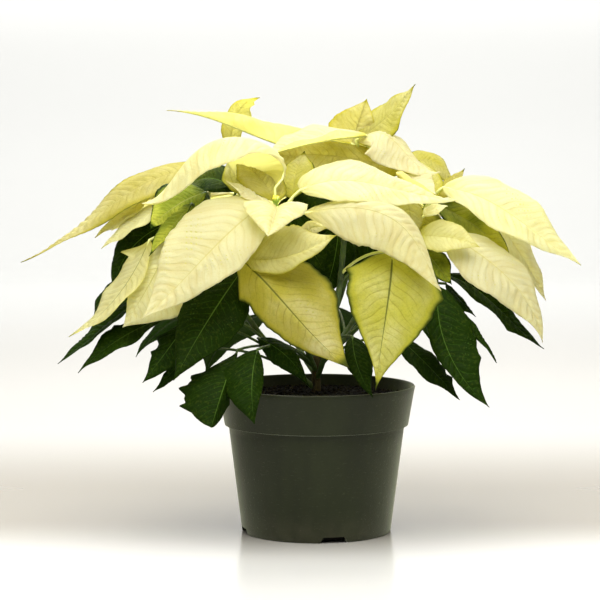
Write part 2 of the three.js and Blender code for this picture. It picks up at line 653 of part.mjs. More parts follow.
const ruled = (list, firstSeed) => list.map((spec, i) => ruledLeaf(spec, firstSeed + i));
const whole = (leaf) => ({ ...PLAIN_LEAF, ...leaf });
const bracts = [...Object.values(BRACTS), ...ruled(RULED_BRACTS, 1)].map(whole);
const greens = [...Object.values(GREENS), ...ruled(RULED_GREENS, 41)].map(whole);

// ---- the small yellow-green cyathia on the top of each flowering stem ----
function bead(heart, azimuth, rise) {
  const shape = new THREE.SphereGeometry(1, 5, 3);
  shape.scale(BEAD_RADIUS, BEAD_RADIUS, BEAD_HEIGHT / 2);
  shape.rotateX(rad(BEAD_LEAN));
  shape.translate(0, -BEAD_REACH, 0);
  shape.rotateZ(azimuth);
  shape.translate(heart.x, heart.y, heart.z + rise);
  return solid(shape);
}

function cyathia(stem, curve, seed) {
  const ahead = curve.getTangent(1);
  const foot = curve.getPoint(1).addScaledVector(ahead, STALK_CLEAR);
  const heart = curve.getPoint(1).add(vec(stem.lean));
  const middle = foot.clone().lerp(heart, 0.5).add(ahead);
  const beads = [...Array(CYATHIA).keys()].map((i) => {
    const turn = (2 * Math.PI * (i + BEAD_TURN * draw(seed + i))) / CYATHIA;
    return bead(heart, turn, BEAD_RISE + BEAD_SWING * draw(seed + 0.5 * i));
  });
  const path = new THREE.QuadraticBezierCurve3(foot, middle, heart);
  return joined([tube(path, CYATHIA_STALK, 5, 1), ...beads]);
}

// ---- pot, soil and trunk ----
// The outer radius at height z, below the band and on it.
const bodyRadius = (z) => BASE_RADIUS + ((BODY_TOP_RADIUS - BASE_RADIUS) * z) / BAND_BOTTOM;
const bandRadius = (z) =>
  BAND_RADIUS + ((RIM_RADIUS - BAND_RADIUS) * (z - BAND_BOTTOM)) / (POT_HEIGHT - BAND_BOTTOM);

function notch(azimuth) {
  const shape = new THREE.Shape();
  shape.moveTo(-NOTCH_WIDTH / 2, -1);
  shape.lineTo(NOTCH_WIDTH / 2, -1);
  shape.lineTo(NOTCH_WIDTH / 2 - NOTCH_TAPER, NOTCH_HEIGHT);
  shape.lineTo(NOTCH_TAPER - NOTCH_WIDTH / 2, NOTCH_HEIGHT);
  shape.closePath();
  const cut = new THREE.ExtrudeGeometry(shape, { depth: 2 * NOTCH_DEPTH, bevelEnabled: false });
  cut.rotateX(Math.PI / 2); // the shape's height now runs along +Z, and its depth along -Y
  cut.translate(0, NOTCH_DEPTH - BASE_RADIUS, 0);
  cut.rotateZ(rad(azimuth));
  return solid(cut);
}

function pot() {
  const inside = (radius, z) => [radius(z) - POT_WALL, z];
  const body = lathe([
    [0, 0],
    [BASE_RADIUS - FOOT_CHAMFER, 0],
    [bodyRadius(FOOT_CHAMFER), FOOT_CHAMFER],
    [bodyRadius(BAND_BOTTOM - BAND_STEP), BAND_BOTTOM - BAND_STEP],
    [BAND_RADIUS, BAND_BOTTOM],
    [bandRadius(POT_HEIGHT - RIM_CHAMFER), POT_HEIGHT - RIM_CHAMFER],
    [RIM_RADIUS - RIM_CHAMFER, POT_HEIGHT],
    [RIM_RADIUS - LIP_WIDTH, POT_HEIGHT],
    inside(bandRadius, POT_HEIGHT - LIP_DEPTH),
    inside(bandRadius, BAND_BOTTOM + STEP_INSIDE[1]),
    inside(bodyRadius, BAND_BOTTOM + STEP_INSIDE[0]),
    inside(bodyRadius, POT_FLOOR),
    [0, POT_FLOOR],
  ]);
  const cuts = [...Array(NOTCHES).keys()].map((i) => notch(FIRST_NOTCH + (360 * i) / NOTCHES));
  return cuts.reduce((rest, cut) => rest.subtract(cut), body);
}

function soil() {
  const inside = (radius, z, height = z) => [radius(z) - POT_WALL - SOIL_CLEAR, height];
  const edge = inside(bandRadius, SOIL_EDGE)[0];
  const mound = (share) => SOIL_EDGE + (SOIL_CROWN - SOIL_EDGE) * (1 - share ** 2);
  const body = lathe([
    [0, POT_FLOOR + GAP],
    inside(bodyRadius, POT_FLOOR, POT_FLOOR + GAP),
    inside(bodyRadius, BAND_BOTTOM + STEP_INSIDE[0]),
    inside(bandRadius, BAND_BOTTOM + STEP_INSIDE[1]),
    [edge, SOIL_EDGE],
    [SOIL_SHOULDER * edge, mound(SOIL_SHOULDER)],
    [0, SOIL_CROWN],
  ]);
  return body.subtract(trunk(GAP));
}

// The trunk, or with `clear` above 0 the room that is left for it in its neighbours.
function trunk(clear) {
  const height = TRUNK_TOP - TRUNK_BOTTOM + 2 * clear;
  const [top, foot] = [TRUNK_TIP_RADIUS + clear, TRUNK_RADIUS + clear];
  const shape = new THREE.CylinderGeometry(top, foot, height, 10);
  shape.rotateX(Math.PI / 2);
  shape.translate(0, 0, TRUNK_BOTTOM - clear + height / 2);
  return solid(shape);
}

// ---- the assembly ----
const MATERIALS = {
  pot: { color: 0x373c31, roughness: 0.42 },
  soil: { color: 0x1d150e, roughness: 1 },
  trunk: { color: 0x4c4629, roughness: 0.8 },
  leafy_stem: { color: 0x23451a, roughness: 0.5 },
  bracts: { color: 0xf3ecb4, roughness: 0.55 },
  cyathia: { color: 0xb6bf3a, roughness: 0.5 },
};

const group = new THREE.Group();

function place(name, kind, manifold) {
  const material = new THREE.MeshStandardMaterial({ ...MATERIALS[kind], metalness: 0 });
  const mesh = new THREE.Mesh(geometryOf(manifold), material);
  mesh.name = name;
  group.add(mesh);
}

place("pot", "pot", pot());
place("soil", "soil", soil());
place("trunk", "trunk", trunk(0));

STEMS.forEach((stem, i) => {
  const curve = stemCurves[i];
  const onStem = (leaves) => leaves.filter((leaf) => leaf.stem === i + 1);
  const halfGap = GAP / 2 / curve.getLength();
  const leafy = foliage(onStem(greens), curve, 0, stem.split - halfGap, LOW_MARGIN);
  place(`leafy_stem_${i + 1}`, "leafy_stem", leafy.subtract(trunk(GAP)));
  place(`bracts_${i + 1}`, "bracts", foliage(onStem(bracts), curve, stem.split + halfGap, 1, TOP_MARGIN));
  place(`cyathia_${i + 1}`, "cyathia", cyathia(stem, curve, 7 * i));
});

export default group;
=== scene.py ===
"""The looks of a white poinsettia in its nursery pot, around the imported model.

Sizes are in millimetres in the model's frame: +Z up, the viewer's side is -Y, and the origin is the
middle of the pot's flat underside. A mesh is scaled to metres where it is made. Lights, the floor's
colour bands and the materials' scales are in metres.
"""

import math

import bpy
import numpy as np
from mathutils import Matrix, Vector, noise


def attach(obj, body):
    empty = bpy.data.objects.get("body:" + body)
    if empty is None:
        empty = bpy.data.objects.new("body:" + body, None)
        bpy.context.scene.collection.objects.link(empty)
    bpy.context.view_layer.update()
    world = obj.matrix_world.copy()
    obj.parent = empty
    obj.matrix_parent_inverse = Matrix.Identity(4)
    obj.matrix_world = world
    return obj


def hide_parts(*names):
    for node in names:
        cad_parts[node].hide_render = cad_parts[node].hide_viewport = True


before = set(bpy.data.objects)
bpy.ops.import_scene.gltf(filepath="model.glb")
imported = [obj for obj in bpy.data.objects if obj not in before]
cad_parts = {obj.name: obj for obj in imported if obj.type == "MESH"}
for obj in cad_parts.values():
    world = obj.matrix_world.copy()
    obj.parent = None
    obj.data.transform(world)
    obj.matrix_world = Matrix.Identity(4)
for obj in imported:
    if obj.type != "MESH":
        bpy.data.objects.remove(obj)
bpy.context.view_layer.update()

MM = 0.001  # a millimetre in metres
UP = np.array([0.0, 0.0, 1.0])

# ---- camera ----
CAMERA_PLACE = (-13.8, -1867, 340.1)
CAMERA_PITCH = 0.078  # radians below the horizontal
FOCAL_LENGTH = 134.57
SENSOR_WIDTH = 36

# ---- the pot ----
POT_HEIGHT = 123.3
RIM_RADIUS = 82.5
BASE_RADIUS = 62.3
BAND_BOTTOM = 91
BAND_RADIUS = 77
BODY_TOP_RADIUS = 73.8
POT_WALL = 1.8
POT_FLOOR = 2.5
LIP_WIDTH = 2.6
LIP_HEIGHT = 1.6
LIP_ROWS = 9
HOLLOW = 1.2  # rise of the underside's middle
FOOT_RING = (9, 7.6, 1.2)  # from the base's edge in to the hollow, and to the ring's two edges
# The outside below the band, as (off the plain wall, height): the foot, the wall, the groove of the
# mould's parting line and the start of the band.
WALL_PROFILE = [(-0.5, 0.3), (0, 1), *((0, z) for z in np.linspace(6, 84, 14))]
WALL_PROFILE += [(-0.15, 85.2), (0, 86), (0, 89), (0.4, 89.8)]
BAND_EDGE = [(-0.7, 90.2), (-0.1, 90.4)]  # (off the band's lower radius, height)
BAND_ROWS = [90.9, *np.linspace(95, 118, 6)]
INNER_BAND_ROWS = (118, 110, 102, 94)
INNER_BODY_ROWS = (90, 70, 50, 30, 10, POT_FLOOR)
POT_SIDES = 128
SHARP_EDGE = 35  # degrees above which an edge of the pot is sharp

NOTCHES = 4
NOTCH_WIDTH = 24
NOTCH_HEIGHT = 5
NOTCH_DEPTH = 9
NOTCH_TAPER = 3
UNDERCUT = 1  # how far its cutting block starts under the foot
FIRST_NOTCH = 13  # degrees from the front toward the right

# ---- the soil ----
SOIL_EDGE = 113
SOIL_CROWN = 118
SOIL_GAP = 0.4  # to the pot's wall and floor
SOIL_ROWS = (60, 90)  # heights on its side
SOIL_RINGS = 48
SOIL_SIDES = 144
SOIL_SINK = 0.3  # by which the whole top lies lower
SOIL_RELIEF = 0.8
CLOD = 9  # width
CLOD_RELIEF = 1.3  # against the small lumps'
LUMP = 3
LUMP_SLICE = 4  # of the noise, where the clods take slice 0
CRUMBS = 1500
CRUMB_SIZE = (0.5, 1.9)
CRUMB_FORM = (1, 0.8, 0.7)  # length, width and height, as shares of its size
CRUMB_PROFILE = [(0, -1), (0.8, -0.5), (1, 0.25), (0.6, 0.85), (0, 1)]
CRUMB_SIDES = 6
CRUMB_MARGIN = 1
CRUMB_RARITY = 3  # power by which large ones are rare
CRUMB_SEEDS = 13
CRUMB_LUMPS = 0.3  # share of its size
CRUMB_RISE = 0.25  # of its middle above the soil, as a share of its size
FIBRES = 90
FIBRE_LENGTH = 3
FIBRE_SWING = 2  # how much longer or shorter
FIBRE_RISE = 0.4
FIBRE_ARCH = 0.6
FIBRE_SLOPE = 0.1
FIBRE_RADII = [0.22, 0.3, 0.15]
FIBRE_SIDES = 5
FIBRE_TURNS = 9  # by which its direction turns faster than its place
FIBRE_MARGIN = 6  # from the soil's edge

# ---- the trunk ----
TRUNK_BOTTOM = 58
TRUNK_TOP = 148
TRUNK_RADIUS = 4.4
TRUNK_TIP_RADIUS = 3.6
TRUNK_ROWS = 110
TRUNK_SIDES = 40
TRUNK_END = (0.97, 0.85, 0.45)  # rounding of the last rows, as shares of their radius
OLD_JOINTS = 15  # from one ridge to the next
OLD_JOINT_SPREAD = 1.2
OLD_JOINT_RELIEF = 0.3
OLD_JOINT_SWING = 0.4  # unevenness around the trunk
OLD_JOINT_TWIST = 6  # mm of height for each radian
BARK_WAVES = [(0.05, 5, 7), (0.03, 11, -3)]  # (share of the radius, waves around, twist as above)

# ---- stems, petioles and cyathia ----
STEM_RADIUS = 2.3
STEM_RISE = 0.42
STEM_ROWS = 36
STEM_SIDES = 16
STEM_JOINTS = 9
JOINT_SWELL = 0.1  # share of the radius
JOINT_WAIST = 0.02
SWELL_BAND = (0.8, 1)  # of the cosine that is 1 at a joint
WAIST_BAND = (0.2, -1)
PETIOLE_RADIUS = 1.15
PETIOLE_SLOPE = 0.35
PETIOLE_ARCH = 0.06
PETIOLE_ROWS = 13
PETIOLE_SIDES = 9
PETIOLE_FOOT = 0.35  # how much wider it is at the stem, as a share of its radius
FOOT_LENGTH = 0.16  # share of the petiole
BLADE_START = 0.05  # share of the rib that gives a petiole its direction
STEM_STEP = 0.01  # share of a stem, in the search for the place where a petiole leaves it
LOW_MARGIN = 0.03  # share of a stem piece's ends that is kept free of petioles
TOP_MARGIN = 0.06

CYATHIA = 3
CYATHIA_STALK = 1.1
NEAR_TOP = 0.98  # share of a stem that gives the stalk its direction
STALK_ROWS = 8
STALK_SIDES = 12
STALK_RIPENESS = 0.2
BEAD_RADIUS = 2
BEAD_HEIGHT = 6.6
BEAD_REACH = 1.9
BEAD_LEAN = 24  # degrees
BEAD_RISE = 1.2
BEAD_RISE_SWING = 0.7
BEAD_TURN_SWING = 0.3  # share of the turn from one to the next
CLUSTER_SEEDS = 7
# A bead's cup, in shares of its radius and of half its height, up to the mouth and down inside.
CUP = [(0, -1), (0.45, -0.95), (0.8, -0.7), (0.98, -0.25), (1, 0.1), (0.9, 0.5)]
CUP += [(0.66, 0.8), (0.5, 0.9), (0.42, 0.86), (0.3, 0.7), (0, 0.66)]
CUP_SIDES = 20
CUP_RIBS = 5
CUP_RIB_RELIEF = 0.05
GLAND = [(0, -0.5), (0.75, -0.35), (0.95, 0), (0.7, 0.3), (0.35, 0.12), (0, 0.1)]
GLAND_SIDES = 12
GLAND_LEAN = 0.9  # radians
GLAND_PLACE = 0.72  # out and up, as shares of the radius and of half the height
STAMENS = 5
STAMEN_REACH = 0.35
STAMEN_FOOT = 0.62  # share of half the height
STAMEN_LENGTH = 0.9
STAMEN_SWING = 0.25
STAMEN_SPREAD = (2, 2, 1)  # of the tips, against the feet
STAMEN_RADII = [0.12, 0.12, 0.26]
STAMEN_SIDES = 6
STAMEN_RIPENESS = 0.95

# Each flowering stem leaves the trunk at height `from_z`, bends at `bow` of the way out and ends at
# `top`. Green leaves stand below the share `split` of it and bracts above. The cyathia stand off
# its top by `lean`.
STEMS = [
    dict(from_z=134, top=(-32, -56, 273), split=0.74, bow=0.8, lean=(-1, -1.5, 6)),
    dict(from_z=148, top=(44, 56, 308), split=0.72, bow=0.8, lean=(1, 1.5, 5)),
    dict(from_z=141, top=(90, 10, 270), split=0.74, bow=0.8, lean=(1.5, 0, 5)),
    dict(from_z=119, top=(-92, 0, 284), split=0.76, bow=0.95, lean=(0, 0, 5)),
    dict(from_z=127, top=(22, -44, 247), split=0.76, bow=0.8, lean=(0, -1.5, 6)),
    dict(from_z=130, top=(-60, 92, 284), split=0.74, bow=0.8, lean=(-0.5, 1.5, 5)),
    dict(from_z=136, top=(76, 88, 280), split=0.74, bow=0.8, lean=(1, 1.5, 5)),
]


# ---- the leaves ----
PLAIN_LEAF = dict(widest=0.4, blunt=0.65, taper=1.25, lobes=[], curl=25)


def leaf(stem, rib, left, right, **form):
    """A blade on a flowering stem.

    It is drawn through its rib's points, from base to tip. `left` and `right` lead from the rib to
    its two edges where it is `widest`, seen from above with the tip ahead. `blunt` rounds the base
    and `taper` draws out the tip, for both edges or for [left, right]. A lobe is [share of length,
    side (-1 left, 1 right), size as a share of the half width, reach along it]. `curl` is how many
    degrees each half bends from the rib to its edge. `turning` is how green the blade and its
    veins are, each 0 to 1; on a bract that sits in shade, part of that greenness is painted shade.
    """
    return {**PLAIN_LEAF, **dict(stem=stem, rib=rib, left=left, right=right), **form}


# Greenness on bracts in shade, such as behind_cyathia, dome and rear_peak, is painted shade.
BRACTS = {
    "behind_cyathia": leaf(
        1, [[-20, -30, 280], [-17, -14, 300], [-10, 4, 318]], [-12, 13, 8], [17, -7, 2], curl=20,
        turning=[0.26, 0.3],
    ),
    "shelf": leaf(
        1, [[-14, -52, 287], [25, -44, 295], [72, -40, 286], [116, -42, 279]], [-11, 25, 16],
        [0, -25, -17], widest=0.36, blunt=0.45, taper=[2.1, 1.3],
    ),
    "ridge": leaf(
        1, [[-11, -62, 269], [28, -74, 274], [67, -92, 260], [84, -103, 236], [97, -112, 210]],
        [-17, 27, 13], [-1, -17, -30], widest=0.4, blunt=[0.5, 0.9], taper=[1.7, 1.1],
        turning=[0.06, 0.3],
    ),
    "heart": leaf(
        1, [[-32, -72, 274], [-35, -96, 263], [-39, -116, 253]], [27, 2, 11], [-25, 2, 11],
        widest=0.32, blunt=0.4, taper=1.2, curl=80,
    ),
    "sliver": leaf(
        1, [[-36, -56, 275], [-54, -58, 284], [-73, -62, 295]], [-5, -12, -2], [-2, 16, 5],
    ),
    "dome": leaf(
        1, [[-35, -48, 278], [-45, -34, 295], [-66, -22, 311]], [-11, -22, -11], [9, 22, 10],
        widest=0.45, blunt=0.6, taper=0.8, turning=[0.2, 0.3],
    ),
    "arch": leaf(
        1, [[-34, -46, 289], [-27, -34, 310], [-54, -40, 329], [-109, -54, 307], [-141, -66, 277]],
        [6, -30, -19], [17, 17, -15], widest=0.52, blunt=[2, 0.7], taper=1,
        lobes=[[0.17, 1, 0.9, 0.15], [0.32, 1, 0.9, 0.15]], curl=20,
    ),
    "great_left": leaf(
        1, [[-44, -72, 275], [-76, -92, 249], [-107, -106, 217], [-138, -116, 188]], [16, -18, -20],
        [-31, 22, 18], widest=0.38, blunt=[0.3, 0.35], taper=1.3,
    ),
    "folded_front": leaf(
        1, [[-57, -76, 234], [-28, -90, 235], [-5, -96, 243], [15, -98, 253]], [0, 29, 24],
        [-3, -9, -12], widest=0.38, blunt=[0.24, 0.5], taper=1.2, curl=50, turning=[0.14, 0.2],
    ),
    "curly_front": leaf(
        1, [[-11, -84, 244], [-7, -76, 256], [8, -88, 258]], [-5, 2, 4], [7, -8, -5], widest=0.4,
        blunt=0.5, taper=1.1, curl=45, turning=[0.12, 0.1],
    ),
    "apron_left": leaf(
        1, [[-64, -76, 235], [-34, -100, 208], [-6, -116, 178], [25, -122, 150]], [33, 39, 19],
        [-15, 13, -19], widest=0.38, blunt=[0.45, 0.5], taper=[1.1, 1.2],
        lobes=[[0.16, 1, 0.3, 0.09]], turning=[0.26, 0.9],
    ),
    "flat_far_left": leaf(
        2, [[31, 62, 324], [-14, 54, 320], [-63, 38, 336], [-126, 26, 352]], [4, -20, 16],
        [4, 16, 9], widest=0.4, taper=2, curl=10, turning=[0.06, 0.2],
    ),
    "rear_peak": leaf(
        2, [[29, 64, 318], [36, 60, 341], [43, 52, 362]], [-25, 4, 0], [21, -12, 1], widest=0.32,
        blunt=0.5, taper=[1.4, 1.05], turning=[0.16, 0.3],
    ),
    "tall_peak": leaf(
        2, [[34, 54, 327], [58, 44, 345], [83, 24, 374]], [-12, 20, 5], [14, -18, -8], widest=0.34,
        taper=[1.3, 1.55], turning=[0.18, 0.3],
    ),
    "flat_lens": leaf(
        2, [[42, 30, 331], [11, 18, 328], [-17, 6, 322], [-45, -2, 314]], [-11, -29, 3],
        [-10, 23, 12], widest=0.48, curl=5,
    ),
    "rear_right": leaf(
        2, [[35, 34, 326], [55, 31, 333], [77, 18, 314], [103, 2, 301]], [10, 24, -3],
        [-19, -24, -17], widest=0.35, blunt=0.45,
    ),
    "mid_back": leaf(
        2, [[73, 38, 300], [24, 27, 313], [-41, 10, 312]], [-5, -11, -17], [-5, 9, 13], widest=0.5,
        blunt=0.6, taper=0.7, turning=[0.2, 0.3],
    ),
    "right_channel": leaf(
        3, [[68, 8, 296], [81, -8, 289], [98, -26, 283]], [10, 14, 11], [-11, -10, 12],
    ),
    "broad_right": leaf(
        3, [[105, 0, 288], [134, -6, 281], [168, -12, 261], [219, -12, 224]], [15, 32, 16],
        [-18, -20, -9], widest=0.42, blunt=0.5, taper=[1.2, 1.9],
    ),
    "hanging_right": leaf(
        3, [[148, 22, 265], [173, 24, 230], [194, 22, 192]], [14, 16, 0], [-6, -16, -8],
        widest=0.45,
    ),
    "long_right": leaf(
        3, [[108, -20, 250], [138, -34, 231], [166, -44, 204], [184, -46, 163]], [10, 26, 13],
        [-24, -16, -10], widest=0.36, blunt=0.5,
    ),
    "shaded_right": leaf(
        3, [[83, -34, 249], [104, -40, 249], [132, -48, 241]], [2, 9, 13], [-4, -13, -12],
        widest=0.38, blunt=0.45, turning=[0.12, 0.2],
    ),
    "under_shelf": leaf(
        3, [[74, -14, 281], [77, -22, 265], [77, -26, 245]], [12, 9, 2], [-13, -13, 0],
        turning=[0.16, 0.3],
    ),
    "half_green_right": leaf(
        3, [[100, 4, 273], [128, 2, 259], [163, 0, 226]], [9, 18, 13], [-10, -16, -11],
        turning=[0.5, 0.6],
    ),
    "pale_scrap": leaf(
        3, [[88, -20, 265], [97, -18, 271], [108, -16, 273]], [3, 10, 6], [1, -8, -5],
    ),
    "shelf_back": leaf(
        3, [[97, 20, 277], [94, 30, 292], [87, 40, 310]], [-14, 5, 3], [13, -1, 0],
        turning=[0.2, 0.2],
    ),
    "inner_right": leaf(
        3, [[105, 4, 261], [86, -2, 256], [66, -10, 251]], [-5, -11, -14], [-2, 9, 15],
        turning=[0.4, 0.6],
    ),
    "dome_left": leaf(
        4, [[-63, -24, 283], [-70, -16, 296], [-73, -12, 311]], [-9, -8, 2], [8, 16, 10],
        turning=[0.22, 0.3],
    ),
    "long_left": leaf(
        4, [[-91, 18, 304], [-143, 12, 291], [-191, 4, 259], [-246, -6, 226]], [1, -24, -14],
        [2, 30, 13], widest=0.3, taper=[2.1, 3.3], turning=[0.19, 0.2],
    ),
    "left_under_1": leaf(
        4, [[-139, 12, 281], [-164, 6, 262], [-185, 2, 246]], [-6, -15, -11], [-14, 11, -1],
        turning=[0.1, 0.3],
    ),
    "left_under_2": leaf(
        4, [[-126, -8, 275], [-151, -12, 258], [-178, -16, 238]], [1, -15, -5], [-10, 19, 2],
        turning=[0.08, 0.3],
    ),
    "curled_left": leaf(
        4, [[-137, -34, 246], [-149, -46, 221], [-165, -54, 198], [-201, -60, 169]], [12, -15, 1],
        [-9, 19, 7], widest=0.38, taper=1.6, lobes=[[0.1, 1, 1, 0.06]], curl=-20,
        turning=[0.1, 0.8],
    ),
    "backing_left": leaf(
        4, [[-118, -40, 250], [-134, -56, 215], [-157, -64, 177]], [36, -5, -23], [-15, 11, 4],
        widest=0.45, turning=[0.05, 0.3],
    ),
    "apron_right": leaf(
        5, [[60, -78, 238], [56, -98, 203], [51, -106, 171], [46, -108, 131]], [40, 3, -3],
        [-34, 5, -1], widest=0.27, blunt=0.33, taper=[1.5, 2],
        lobes=[[0.13, 1, 0.2, 0.06], [0.3, -1, 0.08, 0.08]], turning=[0.25, 0.9],
    ),
    "ragged_back": leaf(
        6, [[-69, 55, 310], [-72, 62, 337], [-65, 60, 354], [-48, 48, 363]], [-9, -12, 1],
        [11, 10, 1], widest=0.5, taper=1.1, lobes=[[0.62, 1, 0.25, 0.07], [0.78, 1, 0.25, 0.06]],
        curl=15, turning=[0.16, 0.2],
    ),
    "far_right_round": leaf(
        7, [[72, 60, 300], [94, 62, 310], [120, 62, 284]], [0, 22, 8], [4, -18, -17],
        turning=[0.24, 0.2],
    ),
    "far_right_tip": leaf(
        7, [[102, 48, 279], [116, 45, 291], [126, 40, 303]], [-2, 4, 6], [8, -6, -2],
        turning=[0.2, 0.2],
    ),
}
GREENS = {
    "broad_front": leaf(
        1, [[-62, -56, 221], [-83, -78, 191], [-114, -100, 138]], [24, 2, -11], [-27, 10, 4],
        widest=0.36,
    ),
    "oaken": leaf(
        1, [[-64, -66, 159], [-74, -90, 133], [-84, -104, 101]], [5, 14, -9], [-33, 6, -8],
        widest=0.62, blunt=[0.9, 1.6], taper=0.55,
        lobes=[
            [0.42, 1, 0.16, 0.07], [0.63, 1, 0.2, 0.06], [0.84, 1, 0.3, 0.05],
            [0.62, -1, 0.2, 0.06],
        ],
    ),
    "over_rim": leaf(
        1, [[-48, -74, 160], [-52, -92, 134], [-50, -98, 103]], [9, 3, -1], [-24, 5, -1],
        widest=0.4, taper=1.1,
    ),
    "soil_left": leaf(
        1, [[-48, -52, 167], [-25, -64, 154], [-7, -68, 130]], [9, 6, 2], [-6, 0, -10],
    ),
    "inner_dark": leaf(
        1, [[-33, -30, 267], [-4, -14, 268], [29, 0, 273]], [7, 14, 17], [0, -10, -22], blunt=0.5,
    ),
    "inner_low": leaf(
        1, [[-15, -42, 253], [-7, -44, 242], [6, -46, 221]], [8, 6, 13], [-12, -6, -11],
    ),
    "centre": leaf(
        2, [[18, -20, 259], [14, -34, 228], [4, -40, 197]], [16, 10, -4], [-20, 8, -3],
        turning=[0.92, 0.5],
    ),
    "inner_back": leaf(2, [[39, 30, 265], [37, 16, 240], [30, 6, 214]], [19, 0, -5], [-21, 0, -5]),
    "broad_right_low": leaf(
        3, [[99, -46, 209], [100, -62, 175], [114, -74, 142], [138, -80, 114]], [29, 5, -7],
        [-9, -5, -7], widest=0.42, blunt=0.45,
        lobes=[[0.45, -1, 0.05, 0.06], [0.66, -1, 0.08, 0.06]],
    ),
    "long_right_low": leaf(
        3, [[105, -22, 217], [139, -28, 199], [163, -30, 176], [187, -30, 156]], [0, 14, 11],
        [-12, -12, 1], lobes=[[0.55, -1, 0.3, 0.06], [0.68, 1, 0.2, 0.06]],
    ),
    "right_small": leaf(
        3, [[107, -16, 209], [120, -22, 194], [131, -24, 182]], [7, 5, -5], [-1, -9, -7],
    ),
    "right_sliver": leaf(
        3, [[111, -40, 196], [131, -50, 170], [146, -54, 147]], [7, 2, -5], [3, -4, -8],
    ),
    "half_green_low": leaf(
        3, [[88, -30, 238], [97, -36, 227], [110, -40, 210]], [11, 8, 4], [-10, -10, -5],
        turning=[0.7, 0.6],
    ),
    "half_green_left": leaf(
        4, [[-91, -30, 285], [-118, -38, 272], [-136, -42, 255]], [3, -10, -16], [-17, 22, 13],
        turning=[0.62, 0.7],
    ),
    "half_green_sliver": leaf(
        4, [[-102, -42, 276], [-121, -52, 253], [-136, -56, 234]], [0, -6, -6], [-14, 10, -2],
        turning=[0.68, 0.7],
    ),
    "dark_left_top": leaf(
        4, [[-67, -18, 285], [-87, -10, 296], [-117, -6, 281]], [-7, -16, -11], [0, 16, 11],
        turning=[0.86, 0.5],
    ),
    "dark_left_edge": leaf(
        4, [[-126, 8, 257], [-151, 4, 241], [-170, -4, 203]], [12, -12, -21], [-16, 10, 2],
    ),
    "toothed_left": leaf(
        4, [[-102, -34, 184], [-119, -52, 161], [-141, -64, 132]], [9, -5, -14], [-9, 11, 3],
        widest=0.45, lobes=[[0.4, 1, 0.5, 0.08], [0.62, 1, 0.25, 0.06]],
    ),
    "toothed_tip": leaf(
        4, [[-107, -44, 155], [-119, -54, 138], [-133, -60, 124]], [1, 2, -8], [-7, -4, -1],
    ),
    "outer_left": leaf(
        4, [[-146, -24, 198], [-178, -36, 171], [-212, -42, 145]], [-5, -16, -6], [-15, 12, -3],
    ),
    "bright_left": leaf(
        4, [[-127, -30, 181], [-161, -46, 166], [-194, -56, 139]], [5, -13, -6], [-6, 11, 8],
        widest=0.45, blunt=0.9, taper=1.6, lobes=[[0.42, 1, 0.2, 0.05]], turning=[0.93, 0.5],
    ),
    "thin_left": leaf(
        4, [[-155, -12, 212], [-176, -16, 194], [-186, -16, 175]], [-3, -11, -10], [-11, 13, -1],
    ),
    "toothed_right": leaf(
        5, [[67, -34, 166], [91, -48, 144], [116, -56, 117]], [12, 8, 0], [-6, -10, -8],
        lobes=[[0.6, -1, 0.3, 0.06], [0.75, -1, 0.3, 0.06]],
    ),
    "soil_right": leaf(
        5, [[29, -48, 168], [32, -66, 148], [45, -78, 121]], [14, 6, -1], [-8, 2, -2], widest=0.35,
        blunt=0.35,
    ),
    "under_ridge": leaf(
        5, [[35, -34, 226], [52, -34, 243], [70, -36, 258]], [-3, 6, 18], [12, -8, -12],
    ),
}
BRACT_TURNING = [0.02, 0.1]  # of the bracts that name none
GREEN_TURNING = [1, 0.4]

# Leaves that follow a rule, as rows of stem, azimuth, length, width, lift and droop. A green one's
# row ends with the height of its base. They leave their stem at the azimuth (0 is +X, 90 is +Y) and
# rise at `lift` degrees at the base and at `droop` degrees at the tip.
RULED_BRACTS = [
    (2, 78, 96, 31, 24, -32),
    (2, 128, 84, 27, 30, -22),
    (3, 58, 92, 28, 16, -38),
    (4, 138, 108, 32, 8, -42),
    (4, 102, 56, 22, 26, -18),
    (6, 66, 104, 33, 10, -46),
    (6, 108, 128, 36, 6, -52),
    (6, 152, 118, 34, 12, -40),
    (6, 182, 66, 22, 24, -26),
    (6, 20, 62, 21, 30, -16),
    (7, 94, 122, 35, 8, -50),
    (7, 52, 116, 34, 10, -44),
    (7, 12, 92, 29, 12, -44),
]
RULED_GREENS = [
    (2, 112, 84, 24, 4, -44, 236),
    (3, 30, 96, 27, -4, -56, 214),
    (4, 158, 100, 27, -6, -58, 214),
    (6, 84, 112, 30, -8, -62, 200),
    (6, 124, 104, 29, -10, -60, 176),
    (6, 164, 106, 28, -6, -56, 190),
    (7, 104, 104, 29, -10, -62, 182),
    (7, 66, 112, 30, -8, -60, 204),
    (7, 24, 104, 28, -6, -58, 188),
]
FIRST_GREEN_SEED = 41
BRACT_REACH = 13  # from the stem's top to the base of a ruled bract
BRACT_DROP = 4  # and down
GREEN_REACH = 48  # from the stem to the base of a ruled green leaf
GREEN_RISE = 14  # and up
GREEN_SHARES = (0.2, 0.79)  # of its stem, between which it starts
GREEN_TEETH = [[0.34, -1, 0.14, 0.07], [0.5, 1, 0.14, 0.07]]
BRACT_FOLD = 0.22  # how far both edges hang, as a share of the half width
GREEN_FOLD = 0.11
TURN_SWING = 4  # degrees of azimuth
LENGTH_SWING = 0.05  # share of its length
FOLD_SWING = 0.45  # share of its fold
TILT_SWING = 0.25  # sideways slope

